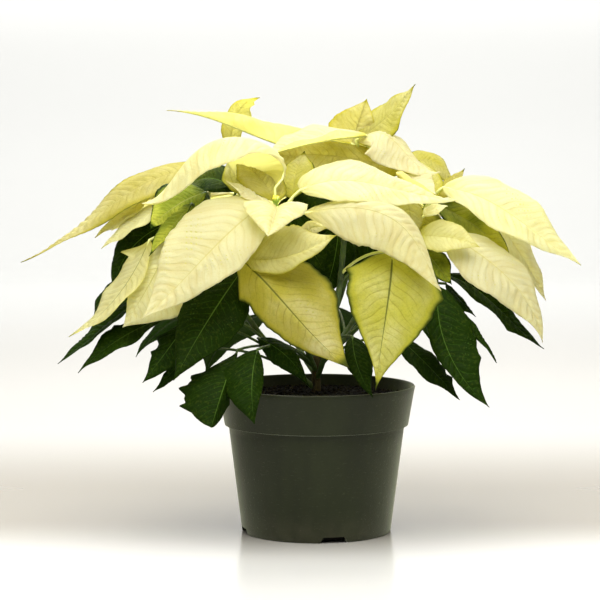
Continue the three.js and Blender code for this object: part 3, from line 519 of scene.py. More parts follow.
# ---- the fine form of a blade ----
FRAMES = 24  # steps in which the blade's frame is carried along the rib
NUDGE = 0.01  # share of the rib, to each side, over which its direction is taken
VEIN_PAIRS = 16  # on a middling blade
VEIN_SPACING = (4, 8)  # least and most, along the rib
VEIN_SLANT = 0.72  # how far a vein runs ahead for each mm that it runs out
VEIN_CURVE = 1.25  # power by which it turns ahead toward the edge
VEIN_OFFSET = 0.4  # of the right half's veins, as a share of a spacing
ROWS_PER_VEIN = 4  # rows of the blade's grid
FEWEST_ROWS = 22
MOST_ROWS = 90
HALF_COLUMNS = 11  # columns on each side of the rib
NARROWEST = 0.3  # half width kept at base and tip
BLADE = 0.45  # thickness
EDGE_THICKNESS = 0.35  # share of it at the edge
THINS_FROM = 0.8  # share of the half width
QUILT = 0.15  # how far the blade stands up between its veins, as a share of their spacing
QUILT_BEGINS = (0.03, 0.2)  # shares of the half width
QUILT_FADES = (0.7, 1)
QUILT_FADE = 0.75  # share that is gone at the edge
QUILT_SWING = 0.5  # unevenness of the quilt, as a share of it
RIB_GROOVE = 0.4
GROOVE_WIDTH = 0.09  # share of the half width
EDGE_WAVE = 1.5
EDGE_WAVES = 2.6  # along the blade
EDGE_WAVE_POWER = 2.2  # it is strong only near the edge
RIPPLE = 0.55  # slow uneven bulges
RIPPLE_BEGINS = 0.4  # share of the half width where they are in full
FULL_RELIEF = 80  # length of the shortest blade with its rib and waves in full
EDGE_NOTCHES = 0.014  # unevenness of the outline, as a share of the half width
FINE_NOTCHES = 0.6  # share of the finer ones in it
NOTCH_WAVES = (6.3, 14.7)  # of both kinds along the blade
VEIN_JITTER = 0.32  # shares of a spacing by which veins drift apart
FINE_JITTER = 0.5  # share of the finer drift in it
# Radians that a slow wave turns along the blade and from the rib to the edge.
QUILT_WAVE = (17, 7)
RIPPLE_WAVES = ((5.1, 2.3), (8.3, -3.1))
JITTER_WAVES = ((9, 3), (21, 4))
SHIFT = 6  # radians by which a draw moves such a wave
RIDGE_RADIUS = 0.95  # of the midrib under the blade, at its base
RIDGE_TIP_RADIUS = 0.22
RIDGE_END = 0.93  # share of the rib
RIDGE_ROWS = 22
RIDGE_SINK = 0.95  # how far its middle is under the blade's, as a share of its radius
RIDGE_ENTRY = 0.08  # share of the rib over which it sinks that far
LOWER_FACE = 2  # added to the veins' greenness there, which tells the shader the face


# ---- vectors and curves ----
def draw(seed):
    """A steady draw between -1 and 1 for each seed. Shares of 1 on a leaf's seed give it more."""
    s = math.sin(seed * 12.9898) * 43758.5453
    return 2 * (s - math.floor(s)) - 1


def unit(v):
    """Vectors along the last axis, at length 1."""
    return v / np.linalg.norm(v, axis=-1, keepdims=True)


def across(v, ahead):
    """What is left of v at right angles to ahead, at length 1."""
    return unit(v - np.sum(v * ahead, axis=-1, keepdims=True) * ahead)


def smooth(low, high, value):
    """0 below low and 1 above high, with a smooth step between."""
    share = np.clip((value - low) / (high - low), 0, 1)
    return share * share * (3 - 2 * share)


def around(sides):
    """The angles of the corners of a regular polygon."""
    return np.arange(sides) * 2 * math.pi / sides


def turned(points, axis, angle):
    """The points turned about X (0) or Z (2) by an angle."""
    c, s = math.cos(angle), math.sin(angle)
    turn = {0: [[1, 0, 0], [0, c, -s], [0, s, c]], 2: [[c, -s, 0], [s, c, 0], [0, 0, 1]]}[axis]
    return points @ np.array(turn).T


def through(points, t):
    """The smooth curve through the points, at the shares t of its length."""
    points = np.array(points, float)
    t = np.asarray(t, float)
    at = np.concatenate([[0], np.cumsum(np.linalg.norm(np.diff(points, axis=0), axis=1))])
    out = np.zeros(t.shape + (3,))
    for i, point in enumerate(points):
        weight = np.ones(t.shape)
        for j, d in enumerate(at):
            if j != i:
                weight = weight * (t * at[-1] - d) / (at[i] - d)
        out += weight[..., None] * point
    return out


def stem_point(stem, share):
    """The middle of a flowering stem at the given shares of its length."""
    share = np.asarray(share, float)[..., None]
    start = np.array([0, 0, stem["from_z"]], float)
    end = np.array(stem["top"], float)
    bend_z = stem["from_z"] + STEM_RISE * (end[2] - stem["from_z"])
    bend = np.array([stem["bow"] * end[0], stem["bow"] * end[1], bend_z])
    return start * (1 - share) ** 2 + bend * 2 * share * (1 - share) + end * share**2


# ---- meshes ----
def grid_faces(rows, columns, wrap=False):
    """Four-sided faces between the neighbours of a grid of points, given row after row."""
    index = np.arange(rows * columns).reshape(rows, columns)
    if wrap:
        index = np.concatenate([index, index[:, :1]], axis=1)
    corners = [index[:-1, :-1], index[:-1, 1:], index[1:, 1:], index[1:, :-1]]
    return np.stack(corners, -1).reshape(-1, 4).tolist()


def tube(path, radii, sides):
    """Points and faces of a closed tube. radii is one per point, or one per point and side."""
    path = np.array(path, float)
    radii = np.broadcast_to(np.asarray(radii, float).reshape(len(path), -1), (len(path), sides))
    ahead = unit(np.gradient(path, axis=0))
    start = np.eye(3)[np.argmin(np.abs(ahead[0]))]
    side = across(start, ahead[0])
    turn = around(sides)[:, None]
    rings = []
    for place, direction, radius in zip(path, ahead, radii):
        side = across(side, direction)
        other = np.cross(direction, side)
        rings.append(place + radius[:, None] * (np.cos(turn) * side + np.sin(turn) * other))
    faces = grid_faces(len(path), sides, wrap=True)
    last = (len(path) - 1) * sides
    faces.append(list(range(sides))[::-1])
    faces.append([last + i for i in range(sides)])
    return np.concatenate(rings), faces


def lathed(profile, sides):
    """Points and faces of a profile of (radius, height) turned about Z. It starts and ends on Z."""
    turn = around(sides)
    inner = profile[1:-1]
    points = [(0, 0, profile[0][1])]
    points += [(r * x, r * y, z) for r, z in inner for x, y in zip(np.cos(turn), np.sin(turn))]
    points.append((0, 0, profile[-1][1]))
    faces = [[c + 1 for c in face] for face in grid_faces(len(inner), sides, wrap=True)]
    last = len(points) - 1
    for i in range(sides):
        after = (i + 1) % sides
        faces.append([0, 1 + after, 1 + i])
        faces.append([last, last - sides + i, last - sides + after])
    return np.array(points, float), faces


def place_object(name, data):
    """A new object in the scene, around its mesh, light or camera."""
    made = bpy.data.objects.new(name, data)
    bpy.context.scene.collection.objects.link(made)
    return made


class Piece:
    """Gathers the points and faces of one piece, with a material and leaf values for each."""

    def __init__(self):
        self.points, self.faces, self.kinds = [], [], []
        self.place, self.look = [], []
        self.count = 0

    def add(self, points, faces, kind=0, place=(0, 0, 0), look=(0, 0, 0)):
        """Adds a part with the material number `kind`, and a place and a look for its points."""
        points = np.asarray(points, float).reshape(-1, 3)
        self.points.append(points)
        self.faces += [[corner + self.count for corner in face] for face in faces]
        self.kinds += [kind] * len(faces)
        self.place.append(np.broadcast_to(np.asarray(place, float), points.shape))
        self.look.append(np.broadcast_to(np.asarray(look, float), points.shape))
        self.count += len(points)

    def make(self, name, nodes, materials):
        """The finished mesh, in the place of the model's nodes."""
        mesh = bpy.data.meshes.new(name)
        mesh.from_pydata((np.concatenate(self.points) * MM).tolist(), [], self.faces)
        for material in materials:
            mesh.materials.append(material)
        mesh.polygons.foreach_set("material_index", self.kinds)
        mesh.polygons.foreach_set("use_smooth", [True] * len(self.faces))
        for label, rows in (("leaf_place", self.place), ("leaf_look", self.look)):
            layer = mesh.attributes.new(label, "FLOAT_VECTOR", "POINT")
            layer.data.foreach_set("vector", np.concatenate(rows).ravel())
        mesh.update()
        piece = place_object(name, mesh)
        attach(piece, "root")
        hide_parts(*nodes)
        return piece


# ---- materials ----
def colour(code):
    """The linear colour of an sRGB code such as 0xF3ECB4."""
    channels = [(code >> shift & 255) / 255 for shift in (16, 8, 0)]
    linear = [c / 12.92 if c <= 0.04045 else ((c + 0.055) / 1.055) ** 2.4 for c in channels]
    return (*linear, 1)


class Value:
    """A node's output. Sums, products and powers of it are math nodes."""

    def __init__(self, shader, socket):
        self.shader = shader
        self.socket = socket

    def __add__(self, other):
        return self.shader.math("ADD", self, other)

    def __sub__(self, other):
        return self.shader.math("SUBTRACT", self, other)

    def __rsub__(self, other):
        return self.shader.math("SUBTRACT", other, self)

    def __mul__(self, other):
        return self.shader.math("MULTIPLY", self, other)

    def __truediv__(self, other):
        return self.shader.math("DIVIDE", self, other)

    def __pow__(self, other):
        return self.shader.math("POWER", self, other)

    def __abs__(self):
        return self.shader.math("ABSOLUTE", self)


class Shader:
    """Builds a node material. An input is a number, a colour or a Value."""

    def __init__(self, name):
        self.material = bpy.data.materials.new(name)
        self.material.use_nodes = True
        self.tree = self.material.node_tree
        self.tree.nodes.clear()
        self.place = self.node("TexCoord", output="Object")

    def node(self, kind, inputs=None, output=0, **settings):
        """One output of a new node."""
        made = self.tree.nodes.new("ShaderNode" + kind)
        for name, value in settings.items():
            setattr(made, name, value)
        for name, value in (inputs or {}).items():
            if isinstance(value, Value):
                self.tree.links.new(value.socket, made.inputs[name])
            else:
                made.inputs[name].default_value = value
        return Value(self, made.outputs[output])

    def math(self, operation, *values):
        return self.node("Math", dict(enumerate(values)), operation=operation)

    def step(self, value, low, high, to_low=0, to_high=1):
        """A smooth step of value from to_low at low to to_high at high."""
        inputs = {"Value": value, "From Min": low, "From Max": high}
        inputs |= {"To Min": to_low, "To Max": to_high}
        return self.node("MapRange", inputs, interpolation_type="SMOOTHSTEP")

    def mix(self, share, low, high):
        """The colour low where share is 0, and high where it is 1. Either may be an sRGB code."""
        low, high = (colour(c) if isinstance(c, int) else c for c in (low, high))
        return self.node("Mix", {0: share, 6: low, 7: high}, output=2, data_type="RGBA")

    def noise(self, scale, detail=3, stretch=(1, 1, 1), place=None):
        """Cloudy noise between 0 and 1, with about `scale` clouds to the metre."""
        stretched = self.node("Mapping", {"Vector": place or self.place, "Scale": stretch})
        return self.node("TexNoise", {"Vector": stretched, "Scale": scale, "Detail": detail})

    def cells(self, scale, feature="DISTANCE_TO_EDGE"):
        """Cells of about 1 / scale metres: the distance to their edges, or to their middles."""
        inputs = {"Vector": self.place, "Scale": scale}
        return self.node("TexVoronoi", inputs, output="Distance", feature=feature)

    def parts_of(self, vector):
        """The X, Y and Z of a vector."""
        x = self.node("SeparateXYZ", {0: vector})
        return [Value(self, socket) for socket in x.socket.node.outputs]

    def attribute(self, name):
        """The three values that the mesh carries under a name."""
        return self.parts_of(self.node("Attribute", output="Vector", attribute_name=name))

    def bump(self, height, distance, strength=1, **normal):
        """Relief of `distance` metres from a height between 0 and 1."""
        inputs = {"Height": height, "Distance": distance, "Strength": strength, **normal}
        return self.node("Bump", inputs)

    def surface(self, shade, roughness, gleam, **others):
        """The principled shader. Its other sockets are named in words joined by underscores."""
        inputs = {"Base Color": shade, "Roughness": roughness, "Specular IOR Level": gleam}
        inputs |= {name.replace("_", " "): value for name, value in others.items()}
        return self.node("BsdfPrincipled", inputs)

    def finish(self, surface):
        """The material, with this as its surface."""
        output = self.tree.nodes.new("ShaderNodeOutputMaterial")
        self.tree.links.new(surface.socket, output.inputs["Surface"])
        return self.material


# Two colours in brackets are the ends between which a surface drifts.
CREAM = (0xFCFBE6, 0xF8F5D2)
# painted shade for a bract's valleys and creases
CREAM_PAINTED_SHADE = 0xECE2B0
# painted light: a bract's lower face, yellow like light shining through it
CREAM_UNDER_PAINTED_LIGHT = 0xF1F09C
YELLOW = (0xE0DC60, 0xD2CC4A)
LIME = (0x959B2B, 0x76862A)
DARK = (0x0F2000, 0x1C3200)
DARK_UNDER = 0x33521A
SPECKLE = 0x8FA436
PALE_VEIN = 0xE8DF92
TURNING_VEIN = 0xA79C34
DARK_VEIN = 0x3C641A
GREEN_RIB = 0x66701C
DARK_RIB = 0x57782E
YOUNG_STALK = (0xD6D78E, 0xBFC672)
OLD_STALK = (0x3A541D, 0x263A14)
STALK_STREAK = 0x8A8B4A
BARK_BROWN = (0x423C22, 0x342B19)
BARK_CRACK = 0x1C160C
BARK_PORE = 0x6E6541
PEAT_BED = (0x050302, 0x0B0804)  # damp and dry
PEAT_CRUMB = (0x080603, 0x18110A)
PEAT_GRIT = 0x332718
POT_GREEN = (0x181C0B, 0x1F2411)
POT_SCUFF = 0x6A6D5C
POT_DUST = 0x77725E
POT_SPLASH = 0x5A5140
POT_SHEEN = 0xEFF6D8
CUP_GREEN = 0x86A02A
CUP_YELLOW = 0xD8CB3C
CUP_BLOOM = 0xB4BE3F

# The greenness over which a blade or its veins pass from one colour to the next.
TO_YELLOW = (0.0, 0.3)
TO_LIME = (0.28, 0.6)
TO_DARK = (0.5, 0.9)
TO_DARK_LINES = (0.55, 0.85)
TO_TURNING_VEIN = (0.06, 0.2)
TO_DARK_VEIN = (0.3, 0.55)
TURNING_FROM = (0.04, 0.4)  # where a leaf begins to turn
TURNED_FROM = (0.95, 0.7)  # and where it is nearly done

# Widths: the vein's as a share of the veins' spacing, from the rib to the edge, and the rib's as a
# share of the half width, from the base to the tip.
VEIN_WIDTH = (0.12, 0.05)
RIB_WIDTH = (0.03, 0.011)
VEIN_DEPTH = 0.00035  # metres of relief that is too fine for the mesh
CREASE_DEPTH = 0.0018


def leaf_lines(s, along, side, vein_phase):
    """How much of a place is side vein, midrib, fine net, valley and crease, each 0 to 1.

    The valley and the crease also set where shade is painted.
    """
    out = abs(side)
    phase = s.math("FRACT", vein_phase)
    from_vein = s.math("MINIMUM", phase, 1.0 - phase)
    vein = s.step(from_vein / s.step(out, 0, 1, *VEIN_WIDTH), 1, 0.25)
    fades_outward = s.step(out, 1, 0.5, 0.25, 1)
    breaks_up = s.step(s.noise(110, 2), 0.35, 0.6, 0.3, 1)
    rib = s.step(out / s.step(along, 0, 1, *RIB_WIDTH), 1, 0.45)
    net = s.step(s.cells(330), 0.09, 0)
    valley_shade = s.step(from_vein, 0.4, 0) ** 2
    at = s.node("CombineXYZ", {0: vein_phase, 1: out, 2: along})
    crease = s.noise(0.9, 2, stretch=(1, 1.6, 4), place=at)  # wrinkles that run with the veins
    return vein * fades_outward * breaks_up, rib, net, valley_shade, crease


def leaf_green(s, greenness, turning, along, side):
    """The greenness of a place, which on a bract in shade is partly painted shade. A leaf part way
    to green is greener in patches, at its rim and at its tip.
    """
    patch = s.noise(38, 4) - 0.5
    edge = abs(side) ** 14
    rim = edge * 0.8 - s.step(edge, 0.1, 0, 0, 0.05)
    paler_ahead = s.step(along, 0.35, 0.85, 0.04, -0.1)
    green_tip = s.step(along, 0.88, 1, 0, 0.9)
    green_base = s.step(along, 0.2, 0, 0, 0.12)
    green = greenness + patch * (turning * 0.5) + (rim + paler_ahead + green_tip) * turning
    return green + green_base


def leaf_tissue(s, green, turning, under, valley_shade, crease):
    """The blade's colour between its lines, with painted shade in its valleys and creases."""
    cream = s.mix(s.noise(65), *CREAM)
    # Painted shade: darker cream in the hollows by the veins and in the low parts of the wrinkles.
    cream = s.mix(valley_shade * 0.2 + s.step(crease, 0.6, 0.3, 0, 0.5), cream, CREAM_PAINTED_SHADE)
    # Painted light: the lower face of a bract is yellower, as light shining through it looks.
    cream = s.mix(under, cream, CREAM_UNDER_PAINTED_LIGHT)
    dark = s.mix(under, s.mix(s.noise(55, 4), *DARK), DARK_UNDER)
    tissue = s.mix(s.step(green, *TO_YELLOW), cream, s.mix(s.noise(80), *YELLOW))
    tissue = s.mix(s.step(green, *TO_LIME), tissue, s.mix(s.noise(90), *LIME))
    tissue = s.mix(s.step(green, *TO_DARK), tissue, dark)
    speckle = s.step(s.noise(420, 2), 0.52, 0.7) * turning
    return s.mix(speckle * 0.25, tissue, SPECKLE)


def leaf_material(name, gleam, see_through, sheen):
    """A blade, from cream over yellow and lime to dark green by its greenness."""
    s = Shader(name)
    along, side, vein_phase = s.attribute("leaf_place")
    greenness, tone, veins = s.attribute("leaf_look")
    under = s.step(veins, 1.5, 1.6)  # the lower face carries LOWER_FACE on top
    rib_green = veins - under * LOWER_FACE
    vein, rib, net, valley_shade, crease = leaf_lines(s, along, side, vein_phase)
    turning = s.step(greenness, *TURNING_FROM) * s.step(greenness, *TURNED_FROM, 0.2, 1)
    green = leaf_green(s, greenness, turning, along, side)
    shade = leaf_tissue(s, green, turning, under, valley_shade, crease)

    is_dark = s.step(green, *TO_DARK_LINES)
    vein_colour = s.mix(s.step(green, *TO_TURNING_VEIN), PALE_VEIN, TURNING_VEIN)
    vein_colour = s.mix(s.step(green, *TO_DARK_VEIN), vein_colour, DARK_VEIN)
    rib_colour = s.mix(is_dark, s.mix(rib_green, PALE_VEIN, GREEN_RIB), DARK_RIB)
    shade = s.mix(net * s.step(is_dark, 0, 1, 0.14, 0.05), shade, vein_colour)
    shade = s.mix(vein * (s.step(is_dark, 0, 1, 0.16, 0.2) + turning * 0.3), shade, vein_colour)
    shade = s.mix(rib * s.step(rib_green, 0, 0.8, 0.5, 0.9), shade, rib_colour)

    # Each leaf is a little lighter or deeper than its neighbours.
    tones = {"Color": shade, "Value": tone * 0.05 + 0.97, "Hue": tone * 0.006 + 0.5}
    shade = s.node("HueSaturation", tones)

    height = s.math("MAXIMUM", vein, rib) * -0.6 - net * 0.3 + s.noise(1500, 2) * 0.25
    normal = s.bump(height, VEIN_DEPTH, 0.7, Normal=s.bump(crease, CREASE_DEPTH, 0.7))
    gloss = s.noise(220) * 0.16 + 0.5
    sheens = {"Sheen_Weight": sheen, "Sheen_Roughness": 0.5}
    front = s.surface(shade, gloss, gleam, Normal=normal, **sheens)
    glow = s.node("HueSaturation", {"Color": shade, "Saturation": 0.92})
    back = s.node("BsdfTranslucent", {"Color": glow, "Normal": normal})
    return s.finish(s.node("MixShader", {0: see_through, 1: front, 2: back}))


def stalk_material(name, colours):
    """A green stem or petiole: fine lengthwise streaks, and darker patches."""
    s = Shader(name)
    streak = s.noise(900, stretch=(1, 1, 0.12))
    patch = s.noise(70, 4)
    shade = s.mix(s.step(patch, 0.35, 0.65), *colours)
    shade = s.mix(s.step(streak, 0.5, 0.7) * 0.2, shade, STALK_STREAK)
    return s.finish(s.surface(shade, patch * 0.2 + 0.4, 0.4, Normal=s.bump(streak, 0.0003, 0.5)))


def bark_material():
    """The trunk: brown-green bark with lengthwise cracks and pale pores."""
    s = Shader("bark")
    crack = s.noise(500, 5, stretch=(1, 1, 0.22))
    pore = s.step(s.cells(420, "F1"), 0.2, 0.12)
    shade = s.mix(s.step(s.noise(90, 4), 0.35, 0.65), *BARK_BROWN)
    shade = s.mix(s.step(crack, 0.52, 0.66), shade, BARK_CRACK)
    shade = s.mix(pore * 0.5, shade, BARK_PORE)
    return s.finish(s.surface(shade, 0.85, 0.3, Normal=s.bump(pore * 0.4 - crack, 0.0009, 0.8)))


def soil_material(name, colours):
    """Peat: nearly black where damp, brown where it has dried."""
    s = Shader(name)
    clump = s.noise(160, 6)
    grit = s.noise(1400)
    shade = s.mix(s.step(clump, 0.42, 0.7), *colours)
    shade = s.mix(s.step(grit, 0.6, 0.75, 0, 0.4), shade, PEAT_GRIT)
    normal = s.bump(clump + grit * 0.4, 0.0016, 0.9)
    return s.finish(s.surface(shade, 0.95, 0.15, Normal=normal))


def pot_material():
    """Thin moulded plastic: a satin face with faint flow marks, scuffs and dust near the foot."""
    s = Shader("moulded_plastic")
    height = s.parts_of(s.place)[2]
    flow = s.noise(45, 4, stretch=(1, 1, 0.25))
    scuff = s.step(s.noise(260, 5, stretch=(1, 1, 3.5)), 0.6, 0.74)
    dust = s.noise(130, 5) * s.step(height, 0.03, 0, 0.02, 0.6)
    splash = s.step(s.noise(700), 0.66, 0.74)
    shade = s.mix(s.step(flow, 0.3, 0.7), *POT_GREEN)
    shade = s.mix(scuff * 0.08, shade, POT_SCUFF)
    shade = s.mix(dust * 0.3, shade, POT_DUST)
    shade = s.mix(splash * dust, shade, POT_SPLASH)
    normal = s.bump(s.noise(900, 2) + flow * 2 - scuff, 0.00012, 0.8)
    gloss = flow * 0.14 + scuff * 0.12 + dust * 0.25 + 0.4
    sheens = {"Sheen_Weight": 0.65, "Sheen_Roughness": 0.4, "Sheen_Tint": colour(POT_SHEEN)}
    return s.finish(s.surface(shade, gloss, 0.14, Normal=normal, **sheens))


def cyathia_material():
    """Waxy beads: green cups that turn yellow toward their mouths."""
    s = Shader("cyathia_wax")
    ripe = s.attribute("leaf_place")[0]
    shade = s.mix(s.step(ripe, 0.45, 0.95), CUP_GREEN, CUP_YELLOW)
    shade = s.mix(s.step(s.noise(900), 0.45, 0.7, 0, 0.4), shade, CUP_BLOOM)
    gloss = s.step(ripe, 0.8, 1, 0.45, 0.25)
    flesh = {"Subsurface_Weight": 0.3, "Subsurface_Scale": 0.001}
    normal = s.bump(s.noise(2200, 2), 0.0001, 0.6)
    return s.finish(s.surface(shade, gloss, 0.5, Normal=normal, **flesh))


BRACT_SKIN = leaf_material("bract_blade", gleam=0.25, see_through=0.75, sheen=0.03)
GREEN_SKIN = leaf_material("green_blade", gleam=0.05, see_through=0.2, sheen=0)
GREEN_STALK = stalk_material("green_stalk", OLD_STALK)
PALE_STALK = stalk_material("pale_stalk", YOUNG_STALK)
BARK = bark_material()
PLASTIC = pot_material()
PEAT = soil_material("peat", PEAT_BED)
CRUMB = soil_material("peat_crumb", PEAT_CRUMB)
WAX = cyathia_material()


# ---- one blade ----
def rib_frames(leaf):
    """Shares, places, directions and right-hand directions along the rib, from base to tip."""

    def direction(t):
        return unit(through(leaf["rib"], t + NUDGE) - through(leaf["rib"], t - NUDGE))

    def carried(end):
        """The right-hand direction, carried along the rib from the widest place to an end."""
        right = across(np.subtract(leaf["right"], leaf["left"]), direction(leaf["widest"]))
        rows = []
        for share in np.linspace(0, 1, FRAMES + 1):
            t = leaf["widest"] + (end - leaf["widest"]) * share
            right = across(right, direction(t))
            rows.append((t, right))
        return rows

    rows = carried(0)[::-1][:-1] + carried(1)
    shares = np.array([t for t, _ in rows])
    rights = np.array([right for _, right in rows])
    return shares, through(leaf["rib"], shares), direction(shares), rights


def frames_at(frames, t):
    """Place, direction, right and normal at the shares t."""
    shares, places, directions, rights = frames

    def at(values):
        return np.stack([np.interp(t, shares, column) for column in values.T], -1)

    ahead = unit(at(directions))
    right = across(at(rights), ahead)
    return at(places), ahead, right, np.cross(right, ahead)


def of_hand(value, hand):
    """A value for both edges, or for [left, right]."""
    return value[hand] if isinstance(value, list) else value


def spread(leaf, t, hand):
    """The half width at the shares t, as a share of the widest."""
    widest = leaf["widest"]
    to_base = np.sin(math.pi / 2 * np.clip(t / widest, 0, 1)) ** of_hand(leaf["blunt"], hand)
    to_tip = np.sin(math.pi / 2 * np.clip((1 - t) / (1 - widest), 0, 1))
    to_tip = to_tip ** of_hand(leaf["taper"], hand)
    width = np.where(t < widest, to_base, to_tip)
    for at, side, size, reach in leaf["lobes"]:
        if (side > 0) == (hand == 1):
            width = width + size * np.maximum(0, 1 - np.abs(t - at) / reach)
    return width


def half_edges(leaf, frames):
    """The half widths and slopes of the left and the right half, at the widest place."""
    _, ahead, right, normal = frames_at(frames, np.array(leaf["widest"]))
    halves = []
    for edge, sign in ((leaf["left"], -1), (leaf["right"], 1)):
        edge = np.array(edge, float)
        flat = edge - edge.dot(ahead) * ahead
        halves.append((np.linalg.norm(flat), math.atan2(flat.dot(normal), sign * flat.dot(right))))
    return halves


def rib_length(leaf):
    """The length of the straight lines through the rib's points."""
    return np.sum(np.linalg.norm(np.diff(np.array(leaf["rib"], float), axis=0), axis=1))


def to_ends(t):
    """1 in the middle of a blade, and 0 at its base and tip."""
    return np.sin(math.pi * np.clip(t, 0, 1)) ** 0.5


def relief_size(length):
    """Short leaves have less relief."""
    return min(1, length / FULL_RELIEF)


def slow_wave(wave, t, out, seed):
    """The radians of a wave that turns along the blade and outward, moved by a draw."""
    along, outward = wave
    return along * t + outward * out + SHIFT * draw(seed)


def fast_wave(count, t, seed):
    """A wave that runs `count` times along the blade, moved by a draw."""
    return np.sin(2 * math.pi * (count * t + draw(seed)))


def relief(t, out, sign, phase, spacing, length, seed):
    """How far the blade stands off its plain form: quilt between veins, rib groove and waves."""
    quilt = 0.5 - 0.5 * np.cos(2 * math.pi * phase)
    quilt = quilt * smooth(*QUILT_BEGINS, out) * (1 - QUILT_FADE * smooth(*QUILT_FADES, out))
    quilt = quilt * (1 + QUILT_SWING * np.sin(slow_wave(QUILT_WAVE, t, out, seed + 0.9)))
    groove = -RIB_GROOVE * (1 - smooth(0, GROOVE_WIDTH, out))
    wave = EDGE_WAVE * out**EDGE_WAVE_POWER * fast_wave(EDGE_WAVES, t, seed + 0.2)
    first, second = RIPPLE_WAVES
    slow = np.sin(slow_wave(first, t, sign * out, seed + 0.4))
    slow = slow * np.cos(slow_wave(second, t, out, seed + 0.5))
    bulges = QUILT * spacing * quilt + RIPPLE * slow * smooth(0, RIPPLE_BEGINS, out)
    return to_ends(t) * (bulges + relief_size(length) * (groove + wave))


def half_reach(leaf, width, t, hand, seed):
    """How far one half reaches from the rib at the shares t, with small notches in its edge."""
    coarse, fine = NOTCH_WAVES
    uneven = fast_wave(coarse, t, seed + hand)
    uneven = uneven + FINE_NOTCHES * fast_wave(fine, t, seed + hand + 0.7)
    return np.maximum(width * spread(leaf, t, hand) * (1 + EDGE_NOTCHES * uneven), NARROWEST)


def vein_phase(t, out, hand, ahead, veins, seed):
    """The number of the side vein at a place, from the base on. Between two veins it is a share."""
    coarse, fine = JITTER_WAVES
    uneven = np.sin(slow_wave(coarse, t, 2 * hand - 1, seed + 0.8))
    uneven = VEIN_JITTER * (uneven + FINE_JITTER * np.sin(slow_wave(fine, t, out, seed + 0.3)))
    return (t - ahead) * veins + VEIN_OFFSET * hand + uneven


def blade_sheet(leaf, seed):
    """The blade's middle surface as a grid, with its shares, sides and vein phases."""
    frames = rib_frames(leaf)
    length = rib_length(leaf)
    spacing = np.clip(length / VEIN_PAIRS, *VEIN_SPACING)
    rows = int(np.clip(round(ROWS_PER_VEIN * length / spacing), FEWEST_ROWS, MOST_ROWS))
    t = np.linspace(0, 1, rows + 1)[:, None]
    out = np.linspace(0, 1, HALF_COLUMNS + 1)[None, :]
    place, _, right, normal = (v[:, None] for v in frames_at(frames, t[:, 0]))
    bend = math.radians(leaf["curl"])
    halves = []
    for hand, (width, slope) in enumerate(half_edges(leaf, frames)):
        sign = 2 * hand - 1
        reach = half_reach(leaf, width, t, hand, seed)
        arc = reach * (bend / 2) / math.sin(bend / 2)
        start = slope + bend / 2
        lateral = arc * (math.sin(start) - np.sin(start - bend * out)) / bend
        rise = arc * (np.cos(start - bend * out) - math.cos(start)) / bend
        ahead = VEIN_SLANT * reach * out**VEIN_CURVE / length
        phase = vein_phase(t, out, hand, ahead, length / spacing, seed)
        rise = rise + relief(t, out, sign, phase, spacing, length, seed)
        points = place + sign * lateral[..., None] * right + rise[..., None] * normal
        halves.append((points, np.broadcast_to(sign * out, phase.shape), phase))
    left, right = halves
    sheet, side, phase = (np.concatenate([a[:, :0:-1], b], axis=1) for a, b in zip(left, right))
    return sheet, np.broadcast_to(t, side.shape), side, phase


def grid_rim(rows, columns):
    """The corners around a grid, in order."""
    top = range(columns)
    end = (i * columns + columns - 1 for i in range(1, rows))
    bottom = ((rows - 1) * columns + j for j in range(columns - 2, -1, -1))
    back = (i * columns for i in range(rows - 2, 0, -1))
    return [*top, *end, *bottom, *back]


def add_blade(piece, leaf):
    """A closed blade: the sheet on both faces and a rim."""
    seed = leaf["seed"]
    sheet, t, side, phase = blade_sheet(leaf, seed)
    rows, columns = side.shape
    normal = unit(np.cross(np.gradient(sheet, axis=1), np.gradient(sheet, axis=0)) + 1e-9 * UP)
    thinning = EDGE_THICKNESS + (1 - EDGE_THICKNESS) * smooth(1, THINS_FROM, np.abs(side))
    thick = BLADE / 2 * thinning[..., None]
    points = np.concatenate([sheet + thick * normal, sheet - thick * normal])
    count = rows * columns
    upper = grid_faces(rows, columns)
    lower = [[corner + count for corner in face[::-1]] for face in upper]
    edge = grid_rim(rows, columns)
    rim = [[b, a, a + count, b + count] for a, b in zip(edge, edge[1:] + edge[:1])]
    place = np.stack([t, side, phase], -1).reshape(-1, 3)
    greenness, vein_green = leaf["turning"]
    look = [greenness, draw(seed + 0.1), vein_green]
    below = [greenness, draw(seed + 0.1), vein_green + LOWER_FACE]
    looks = np.repeat([look, below], count, axis=0)
    piece.add(points, upper + lower + rim, 0, np.concatenate([place, place]), looks)


# ---- stems and petioles ----
def petiole_path(leaf, stem, low, high):
    """From the stem, between the shares low and high, to the blade's base."""
    base = np.array(leaf["rib"][0], float)
    share = high
    while share > low:
        start = stem_point(stem, share)
        if start[2] <= base[2] - PETIOLE_SLOPE * math.hypot(*(base - start)[:2]):
            break
        share -= STEM_STEP
    start = stem_point(stem, share)
    arch = PETIOLE_ARCH * np.linalg.norm(base - start)
    ahead = unit(through(leaf["rib"], BLADE_START) - base)
    middle = (start + base) / 2 + UP * arch - ahead * arch
    return through([start, middle, base], np.linspace(0, 1, PETIOLE_ROWS))


def add_petiole(piece, leaf, stem, low, high):
    """The petiole, and the midrib that it becomes under the blade."""
    path = petiole_path(leaf, stem, low, high)
    foot = 1 + PETIOLE_FOOT * smooth(FOOT_LENGTH, 0, np.linspace(0, 1, PETIOLE_ROWS))
    shares = np.linspace(0, RIDGE_END, RIDGE_ROWS)[1:]
    place, _, _, normal = frames_at(rib_frames(leaf), shares)
    radii = RIDGE_RADIUS + (RIDGE_TIP_RADIUS - RIDGE_RADIUS) * shares / RIDGE_END
    groove = RIB_GROOVE * relief_size(rib_length(leaf)) * to_ends(shares)
    sink = radii * RIDGE_SINK * smooth(0, RIDGE_ENTRY, shares) + groove
    ridge = place - normal * sink[:, None]
    radii = np.concatenate([PETIOLE_RADIUS * foot, radii])
    piece.add(*tube(np.concatenate([path, ridge]), radii, PETIOLE_SIDES), kind=1)


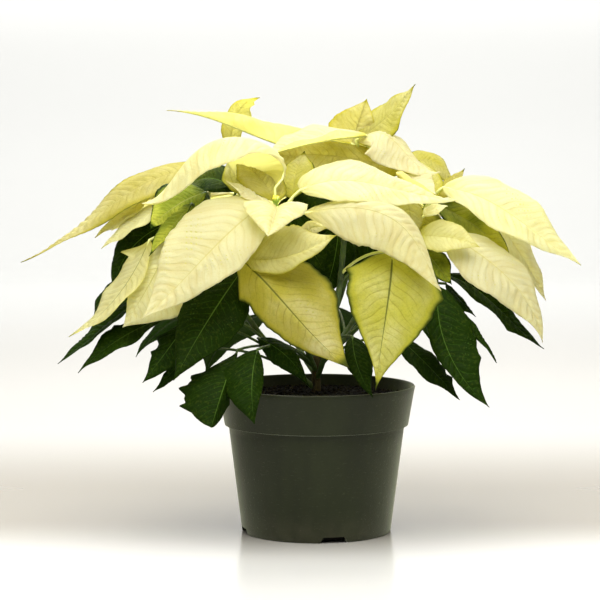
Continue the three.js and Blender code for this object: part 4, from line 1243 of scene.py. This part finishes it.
def add_stem(piece, stem, low, high, seed):
    """A stretch of stem with slightly swollen joints."""
    share = np.linspace(low, high, STEM_ROWS)
    joint = np.cos(2 * math.pi * (share * STEM_JOINTS + draw(seed)))
    swell = JOINT_SWELL * smooth(*SWELL_BAND, joint) - JOINT_WAIST * smooth(*WAIST_BAND, joint)
    piece.add(*tube(stem_point(stem, share), STEM_RADIUS * (1 + swell), STEM_SIDES), kind=2)


# ---- the cyathia ----
def bead_parts(azimuth):
    """The cup, gland and stamens of an upright bead, as points, faces and ripeness."""
    half = BEAD_HEIGHT / 2
    points, faces = lathed([(BEAD_RADIUS * r, half * z) for r, z in CUP], CUP_SIDES)
    ripe = np.clip(points[:, 2] / BEAD_HEIGHT + 0.5, 0, 1)
    turn = np.arctan2(points[:, 1], points[:, 0])
    points[:, :2] *= (1 + CUP_RIB_RELIEF * np.cos(CUP_RIBS * turn) * ripe)[:, None]
    parts = [(points, faces, ripe)]
    points, faces = lathed(GLAND, GLAND_SIDES)
    points = turned(points, 0, GLAND_LEAN) + (0, -BEAD_RADIUS * GLAND_PLACE, half * GLAND_PLACE)
    parts.append((points, faces, np.ones(len(points))))
    for i in range(STAMENS):
        turn = 2 * math.pi * (i + BEAD_TURN_SWING * draw(azimuth + i)) / STAMENS
        foot = [STAMEN_REACH * math.cos(turn), STAMEN_REACH * math.sin(turn), half * STAMEN_FOOT]
        tip = np.multiply(foot, STAMEN_SPREAD)
        tip = tip + UP * (STAMEN_LENGTH + STAMEN_SWING * draw(i + azimuth))
        points, faces = tube([foot, (foot + tip) / 2, tip], STAMEN_RADII, STAMEN_SIDES)
        parts.append((points, faces, np.full(len(points), STAMEN_RIPENESS)))
    return parts


def add_bead(piece, heart, azimuth, rise):
    """One cyathium: a ribbed green cup, its puckered mouth, a yellow gland and short stamens."""
    for points, faces, ripe in bead_parts(azimuth):
        points = turned(points, 0, math.radians(BEAD_LEAN)) + (0, -BEAD_REACH, 0)
        points = turned(points, 2, azimuth) + heart + UP * rise
        piece.add(points, faces, place=np.outer(ripe, (1, 0, 0)))


def make_cyathia(number, stem):
    """The cluster at the end of a flowering stem: a short stalk and its beads."""
    piece = Piece()
    seed = CLUSTER_SEEDS * (number - 1)
    top = stem_point(stem, 1)
    heart = top + stem["lean"]
    ahead = unit(top - stem_point(stem, NEAR_TOP))
    path = through([top, (top + heart) / 2 + ahead, heart], np.linspace(0, 1, STALK_ROWS))
    stalk = tube(path, [CYATHIA_STALK] * STALK_ROWS, STALK_SIDES)
    piece.add(*stalk, place=(STALK_RIPENESS, 0, 0))
    for i in range(CYATHIA):
        turn = 2 * math.pi * (i + BEAD_TURN_SWING * draw(seed + i)) / CYATHIA
        add_bead(piece, heart, turn, BEAD_RISE + BEAD_RISE_SWING * draw(seed + 0.5 * i))
    piece.make(f"flower_buds_{number}", [f"cyathia_{number}"], [WAX])


# ---- pot, soil and trunk ----
def body_radius(z):
    """The pot's outer radius below the band."""
    return BASE_RADIUS + (BODY_TOP_RADIUS - BASE_RADIUS) * z / BAND_BOTTOM


def band_radius(z):
    """The pot's outer radius on the band."""
    share = (z - BAND_BOTTOM) / (POT_HEIGHT - BAND_BOTTOM)
    return BAND_RADIUS + (RIM_RADIUS - BAND_RADIUS) * share


def pot_profile():
    """Radius and height, from the middle of the underside out, up, over the lip and down inside."""
    hollow_edge, ring_inside, ring_outside = (BASE_RADIUS - inset for inset in FOOT_RING)
    profile = [(0, HOLLOW), (hollow_edge, HOLLOW), (ring_inside, 0), (ring_outside, 0)]
    profile += [(body_radius(z) + off, z) for off, z in WALL_PROFILE]
    profile += [(BAND_RADIUS + off, z) for off, z in BAND_EDGE]
    profile += [(band_radius(z), z) for z in BAND_ROWS]
    for turn in np.radians(np.linspace(0, 180, LIP_ROWS)):  # the rolled lip
        radius = RIM_RADIUS - LIP_WIDTH / 2 + LIP_WIDTH / 2 * math.cos(turn)
        profile.append((radius, POT_HEIGHT - LIP_HEIGHT + LIP_HEIGHT * math.sin(turn)))
    profile += [(band_radius(z) - POT_WALL, z) for z in INNER_BAND_ROWS]
    profile += [(body_radius(z) - POT_WALL, z) for z in INNER_BODY_ROWS]
    return profile + [(0, POT_FLOOR)]


def cut_notch(pot, number):
    """Has one drainage notch cut out of the pot's foot, and returns the block that cuts it."""
    half = NOTCH_WIDTH / 2
    top = half - NOTCH_TAPER
    shape = [(-half, -UNDERCUT), (half, -UNDERCUT), (top, NOTCH_HEIGHT), (-top, NOTCH_HEIGHT)]
    ends = (-BASE_RADIUS - NOTCH_DEPTH, NOTCH_DEPTH - BASE_RADIUS)
    points = np.array([(x, y, z) for y in ends for x, z in shape], float)
    azimuth = math.radians(FIRST_NOTCH + 360 * number / NOTCHES)
    faces = [[0, 1, 2, 3], [7, 6, 5, 4], [0, 4, 5, 1], [1, 5, 6, 2], [2, 6, 7, 3], [3, 7, 4, 0]]
    mesh = bpy.data.meshes.new("notch")
    mesh.from_pydata((turned(points, 2, azimuth) * MM).tolist(), [], faces)
    mesh.update()
    cutter = place_object("notch", mesh)
    cut = pot.modifiers.new("notch", "BOOLEAN")
    cut.operation = "DIFFERENCE"
    cut.object = cutter
    cut.solver = "EXACT"
    return cutter


def make_pot():
    """The pot, turned from its profile, with its notches cut for good."""
    piece = Piece()
    piece.add(*lathed(pot_profile(), POT_SIDES))
    pot = piece.make("nursery_pot", ["pot"], [PLASTIC])
    cutters = [cut_notch(pot, i) for i in range(NOTCHES)]
    ready = pot.evaluated_get(bpy.context.evaluated_depsgraph_get())
    mesh = bpy.data.meshes.new_from_object(ready)
    pot.modifiers.clear()
    pot.data = mesh
    for cutter in cutters:
        bpy.data.objects.remove(cutter)
    mesh.set_sharp_from_angle(angle=math.radians(SHARP_EDGE))


def soil_height(x, y):
    """The soil's top: a low mound with uneven clods."""
    share = min(1, math.hypot(x, y) / (band_radius(SOIL_EDGE) - POT_WALL))
    crown = (SOIL_CROWN - SOIL_EDGE) * (1 - share**2)
    clods = CLOD_RELIEF * noise.noise(Vector((x / CLOD, y / CLOD, 0)))
    lumps = noise.noise(Vector((x / LUMP, y / LUMP, LUMP_SLICE)))
    return SOIL_EDGE + crown + SOIL_RELIEF * (clods + lumps) - SOIL_SINK


def soil_radius(z):
    """The soil's own radius, a little inside the pot's wall."""
    wall = body_radius(z) if z < BAND_BOTTOM else band_radius(z)
    return wall - POT_WALL - SOIL_GAP


def on_soil(turn, reach):
    """A place on the soil's top."""
    x, y = reach * math.cos(turn), reach * math.sin(turn)
    return np.array([x, y, soil_height(x, y)])


def add_crumb(piece, edge, i, shape, faces):
    """A loose crumb of peat: a lumpy ball, most often a small one."""
    turn = math.pi * draw(i + 0.1)
    reach = edge * math.sqrt(abs(draw(i + 0.2))) - CRUMB_MARGIN
    low, high = CRUMB_SIZE
    size = low + (high - low) * abs(draw(i + 0.3)) ** CRUMB_RARITY
    lumps = np.array([1 + CRUMB_LUMPS * draw(CRUMB_SEEDS * i + j) for j in range(len(shape))])
    crumb = turned(shape * lumps[:, None] * CRUMB_FORM, 2, turn) * size
    piece.add(crumb + on_soil(turn, reach) + UP * CRUMB_RISE * size, faces, kind=1)


def add_fibre(piece, edge, i):
    """A short arched fibre of peat."""
    turn = math.pi * draw(i + 0.4)
    reach = (edge - FIBRE_MARGIN) * math.sqrt(abs(draw(i + 0.6)))
    start = on_soil(turn, reach) + UP * FIBRE_RISE
    heading = FIBRE_TURNS * turn
    along = np.array([math.cos(heading), math.sin(heading), FIBRE_SLOPE * draw(i)])
    along = along * (FIBRE_LENGTH + FIBRE_SWING * draw(i + 0.8))
    path = through([start, start + along / 2 + UP * FIBRE_ARCH, start + along], [0, 0.5, 1])
    piece.add(*tube(path, FIBRE_RADII, FIBRE_SIDES), kind=1)


def make_soil():
    """A bed that follows the pot's inside, under loose crumbs and fibres."""
    piece = Piece()
    edge = soil_radius(SOIL_EDGE)
    floor = POT_FLOOR + SOIL_GAP
    profile = [(0, floor), (soil_radius(POT_FLOOR), floor)]
    profile += [(soil_radius(z), z) for z in SOIL_ROWS]
    profile += [(r, SOIL_EDGE) for r in np.linspace(0, edge, SOIL_RINGS)[:0:-1]]
    points, faces = lathed(profile + [(0, SOIL_CROWN)], SOIL_SIDES)
    top = points[:, 2] >= SOIL_EDGE
    points[top, 2] = [soil_height(x, y) for x, y, _ in points[top]]
    piece.add(points, faces)
    shape, faces = lathed(CRUMB_PROFILE, CRUMB_SIDES)
    for i in range(CRUMBS):
        add_crumb(piece, edge, i, shape, faces)
    for i in range(FIBRES):
        add_fibre(piece, edge, i)
    piece.make("potting_soil", ["soil"], [PEAT, CRUMB])


def make_trunk():
    """The trunk, with the ridges of old leaf joints and a rounded top."""
    piece = Piece()
    height = np.linspace(TRUNK_BOTTOM, TRUNK_TOP, TRUNK_ROWS)
    share = (height - TRUNK_BOTTOM) / (TRUNK_TOP - TRUNK_BOTTOM)
    turn = around(TRUNK_SIDES)[None, :]
    plain = (TRUNK_RADIUS + (TRUNK_TIP_RADIUS - TRUNK_RADIUS) * share)[:, None]
    z = height[:, None]
    from_joint = z % OLD_JOINTS - OLD_JOINTS / 2
    swing = OLD_JOINT_SWING * np.cos(turn - z / OLD_JOINT_TWIST)
    joint = np.exp(-(from_joint**2) / OLD_JOINT_SPREAD) * (1 - OLD_JOINT_SWING + swing)
    bark = sum(size * np.sin(count * turn + z / twist) for size, count, twist in BARK_WAVES)
    radii = plain * (1 + bark) + OLD_JOINT_RELIEF * joint
    radii[-len(TRUNK_END) :] *= np.array(TRUNK_END)[:, None]
    path = np.stack([0 * height, 0 * height, height], -1)
    piece.add(*tube(path, radii, TRUNK_SIDES))
    piece.make("woody_trunk", ["trunk"], [BARK])


# ---- leaves that follow a rule ----
def ruled_base(stem, out, height):
    """Around the stem's top, or for a green leaf at its height."""
    if height is None:
        return stem_point(stem, 1) + out * BRACT_REACH - UP * BRACT_DROP
    share, last = GREEN_SHARES
    while share < last and stem_point(stem, share)[2] <= height - GREEN_RISE:
        share += STEM_STEP
    base = stem_point(stem, share) + out * GREEN_REACH
    base[2] = height
    return base


def ruled_leaf(seed, stem, azimuth, length, width, lift, droop, height=None):
    """A leaf from its row: a rib that bends from lift to droop, and two hanging edges."""
    turn = math.radians(azimuth + TURN_SWING * draw(seed))
    out = np.array([math.cos(turn), math.sin(turn), 0])
    to_right = np.cross(out, UP)
    length = length * (1 + LENGTH_SWING * draw(seed + 0.3))
    rib = [ruled_base(STEMS[stem - 1], out, height)]
    for share in (1 / 6, 3 / 6, 5 / 6):
        rise = math.radians(lift + (droop - lift) * share)
        rib.append(rib[-1] + (out * math.cos(rise) + UP * math.sin(rise)) * length / 3)
    fold, lobes = (BRACT_FOLD, []) if height is None else (GREEN_FOLD, GREEN_TEETH)
    fold = fold * (1 + FOLD_SWING * draw(seed + 0.6))
    tilt = TILT_SWING * draw(seed + 0.9)
    left = (-to_right + UP * (-tilt - fold)) * width
    right = (to_right + UP * (tilt - fold)) * width
    return leaf(stem, rib, left, right, lobes=lobes)


def all_leaves(placed, rows, first_seed, turning):
    """Each leaf, placed one by one or by the rule, with its seed and how far it has turned;
    on a bract in shade, part of that is painted shade.
    """
    ruled = [ruled_leaf(first_seed + i, *row) for i, row in enumerate(rows)]
    leaves = enumerate([*placed.values(), *ruled])
    return [{"turning": turning, **each, "seed": first_seed + i} for i, each in leaves]


def make_foliage(number, stem, leaves, low, high, margin, name, node, slot, skin, stalk):
    """A stretch of stem with its petioles and blades."""
    piece = Piece()
    add_stem(piece, stem, low, high, number)
    for each in leaves:
        if each["stem"] == number:
            add_petiole(piece, each, stem, low + LOW_MARGIN, high - margin)
            add_blade(piece, each)
    piece.make(f"{name}_{number}", [f"{node}_{number}"], [skin, stalk, GREEN_STALK])


GREEN_PARTS = (LOW_MARGIN, "green_stem", "leafy_stem", "green_leaf", GREEN_SKIN, GREEN_STALK)
BRACT_PARTS = (TOP_MARGIN, "bract_head", "bracts", "bract", BRACT_SKIN, PALE_STALK)

make_pot()
make_soil()
make_trunk()
bracts = all_leaves(BRACTS, RULED_BRACTS, 1, BRACT_TURNING)
greens = all_leaves(GREENS, RULED_GREENS, FIRST_GREEN_SEED, GREEN_TURNING)
for number, stem in enumerate(STEMS, 1):
    make_foliage(number, stem, greens, 0, stem["split"], *GREEN_PARTS)
    make_foliage(number, stem, bracts, stem["split"], 1, *BRACT_PARTS)
    make_cyathia(number, stem)


# ---- floor, light and camera ----
FLOOR_HOLE = 10  # radius of the hole in its middle, which the pot hides
FLOOR_RADIUS = 3200
FLOOR_SIDES = 96
FLOOR_ROWS = 24
SWEEP_STEP = 6  # degrees
WALL_ROWS = 5
SWEEP_RADIUS = 1500
WALL_TOP = 3600
FLOOR_FRONT = 0xC6C6C4
# The band and the floor behind it are painted shade, darkest just behind the pot.
FLOOR_SHADE_BAND = 0x827C70
FLOOR_BACK_SHADE = 0xAAA8A3
FLOOR_WALL = 0xDEDEDC
# Metres behind the pot over which one floor colour passes to the next, and from its middle.
TO_SHADE_BAND = (-0.17, 0.05)
TO_BACK_SHADE = (0.2, 0.65)
TO_WALL = (1.3, 3.0)
# Soft square lights, as name, place, aim, size (metres), power (watts) and tint.
LIGHTS = [
    ("top", (-0.08, -0.72, 1.6), (0, 0, 0.25), 1.6, 65, (1, 0.975, 0.94)),
    ("behind", (0.1, 0.9, 1.6), (0, 0, 0.25), 1.2, 40, (1, 0.98, 0.95)),
    ("backdrop", (0, 2.6, 2.6), (0, 3.8, 0), 2.4, 64, (1, 1, 1)),
]
SKY_COLOUR = (0.985, 1, 0.985, 1)
SKY_STRENGTH = 0.49


def floor_material():
    """A pale, slightly glossy studio floor, darkest in a band of painted shade behind the pot."""
    s = Shader("studio_floor")
    right, back, _ = s.parts_of(s.place)
    flat = s.node("CombineXYZ", {0: right, 1: back})
    reach = s.node("VectorMath", {0: flat}, output="Value", operation="LENGTH")
    # Painted shade: darkest in a band behind the pot, lighter again further back, then the wall.
    shade = s.mix(s.step(back, *TO_SHADE_BAND), FLOOR_FRONT, FLOOR_SHADE_BAND)
    shade = s.mix(s.step(back, *TO_BACK_SHADE), shade, FLOOR_BACK_SHADE)
    shade = s.mix(s.step(reach, *TO_WALL), shade, FLOOR_WALL)
    return s.finish(s.surface(shade, 0.2, 0.5))


def make_floor():
    """A round floor that sweeps up into a wall."""
    profile = [(r, 0) for r in np.linspace(FLOOR_HOLE, FLOOR_RADIUS, FLOOR_ROWS)]
    for turn in np.radians(range(SWEEP_STEP, 91, SWEEP_STEP)):
        out = FLOOR_RADIUS + SWEEP_RADIUS * math.sin(turn)
        profile.append((out, SWEEP_RADIUS * (1 - math.cos(turn))))
    profile += [(out, z) for z in np.linspace(SWEEP_RADIUS, WALL_TOP, WALL_ROWS)[1:]]
    turns = around(FLOOR_SIDES)
    points = np.array([(r * math.cos(a), r * math.sin(a), z) for r, z in profile for a in turns])
    faces = grid_faces(len(profile), FLOOR_SIDES, wrap=True)
    mesh = bpy.data.meshes.new("floor")
    mesh.from_pydata((points * MM).tolist(), [], faces)
    mesh.polygons.foreach_set("use_smooth", [True] * len(mesh.polygons))
    mesh.materials.append(floor_material())
    floor = place_object("floor", mesh)


def make_light(name, place, aim, size, power, tint):
    """A soft square light that looks from its place to its aim."""
    lamp = bpy.data.lights.new(name, "AREA")
    lamp.shape = "SQUARE"
    lamp.size = size
    lamp.energy = power
    lamp.color = tint
    light = place_object(name, lamp)
    light.location = place
    light.rotation_euler = (Vector(aim) - Vector(place)).to_track_quat("-Z", "Y").to_euler()


def make_world():
    """An even light from all around."""
    world = bpy.data.worlds.new("studio")
    world.use_nodes = True
    back = world.node_tree.nodes["Background"]
    back.inputs["Color"].default_value = SKY_COLOUR
    back.inputs["Strength"].default_value = SKY_STRENGTH
    bpy.context.scene.world = world


def make_camera():
    """The photograph's camera."""
    lens = bpy.data.cameras.new("camera")
    lens.sensor_width = SENSOR_WIDTH
    lens.lens = FOCAL_LENGTH
    camera = place_object("camera", lens)
    camera.location = [v * MM for v in CAMERA_PLACE]
    camera.rotation_euler = (math.pi / 2 - CAMERA_PITCH, 0, 0)
    bpy.context.scene.camera = camera


make_floor()
for light in LIGHTS:
    make_light(*light)
make_world()
make_camera()
bpy.context.scene.view_settings.view_transform = "Standard"
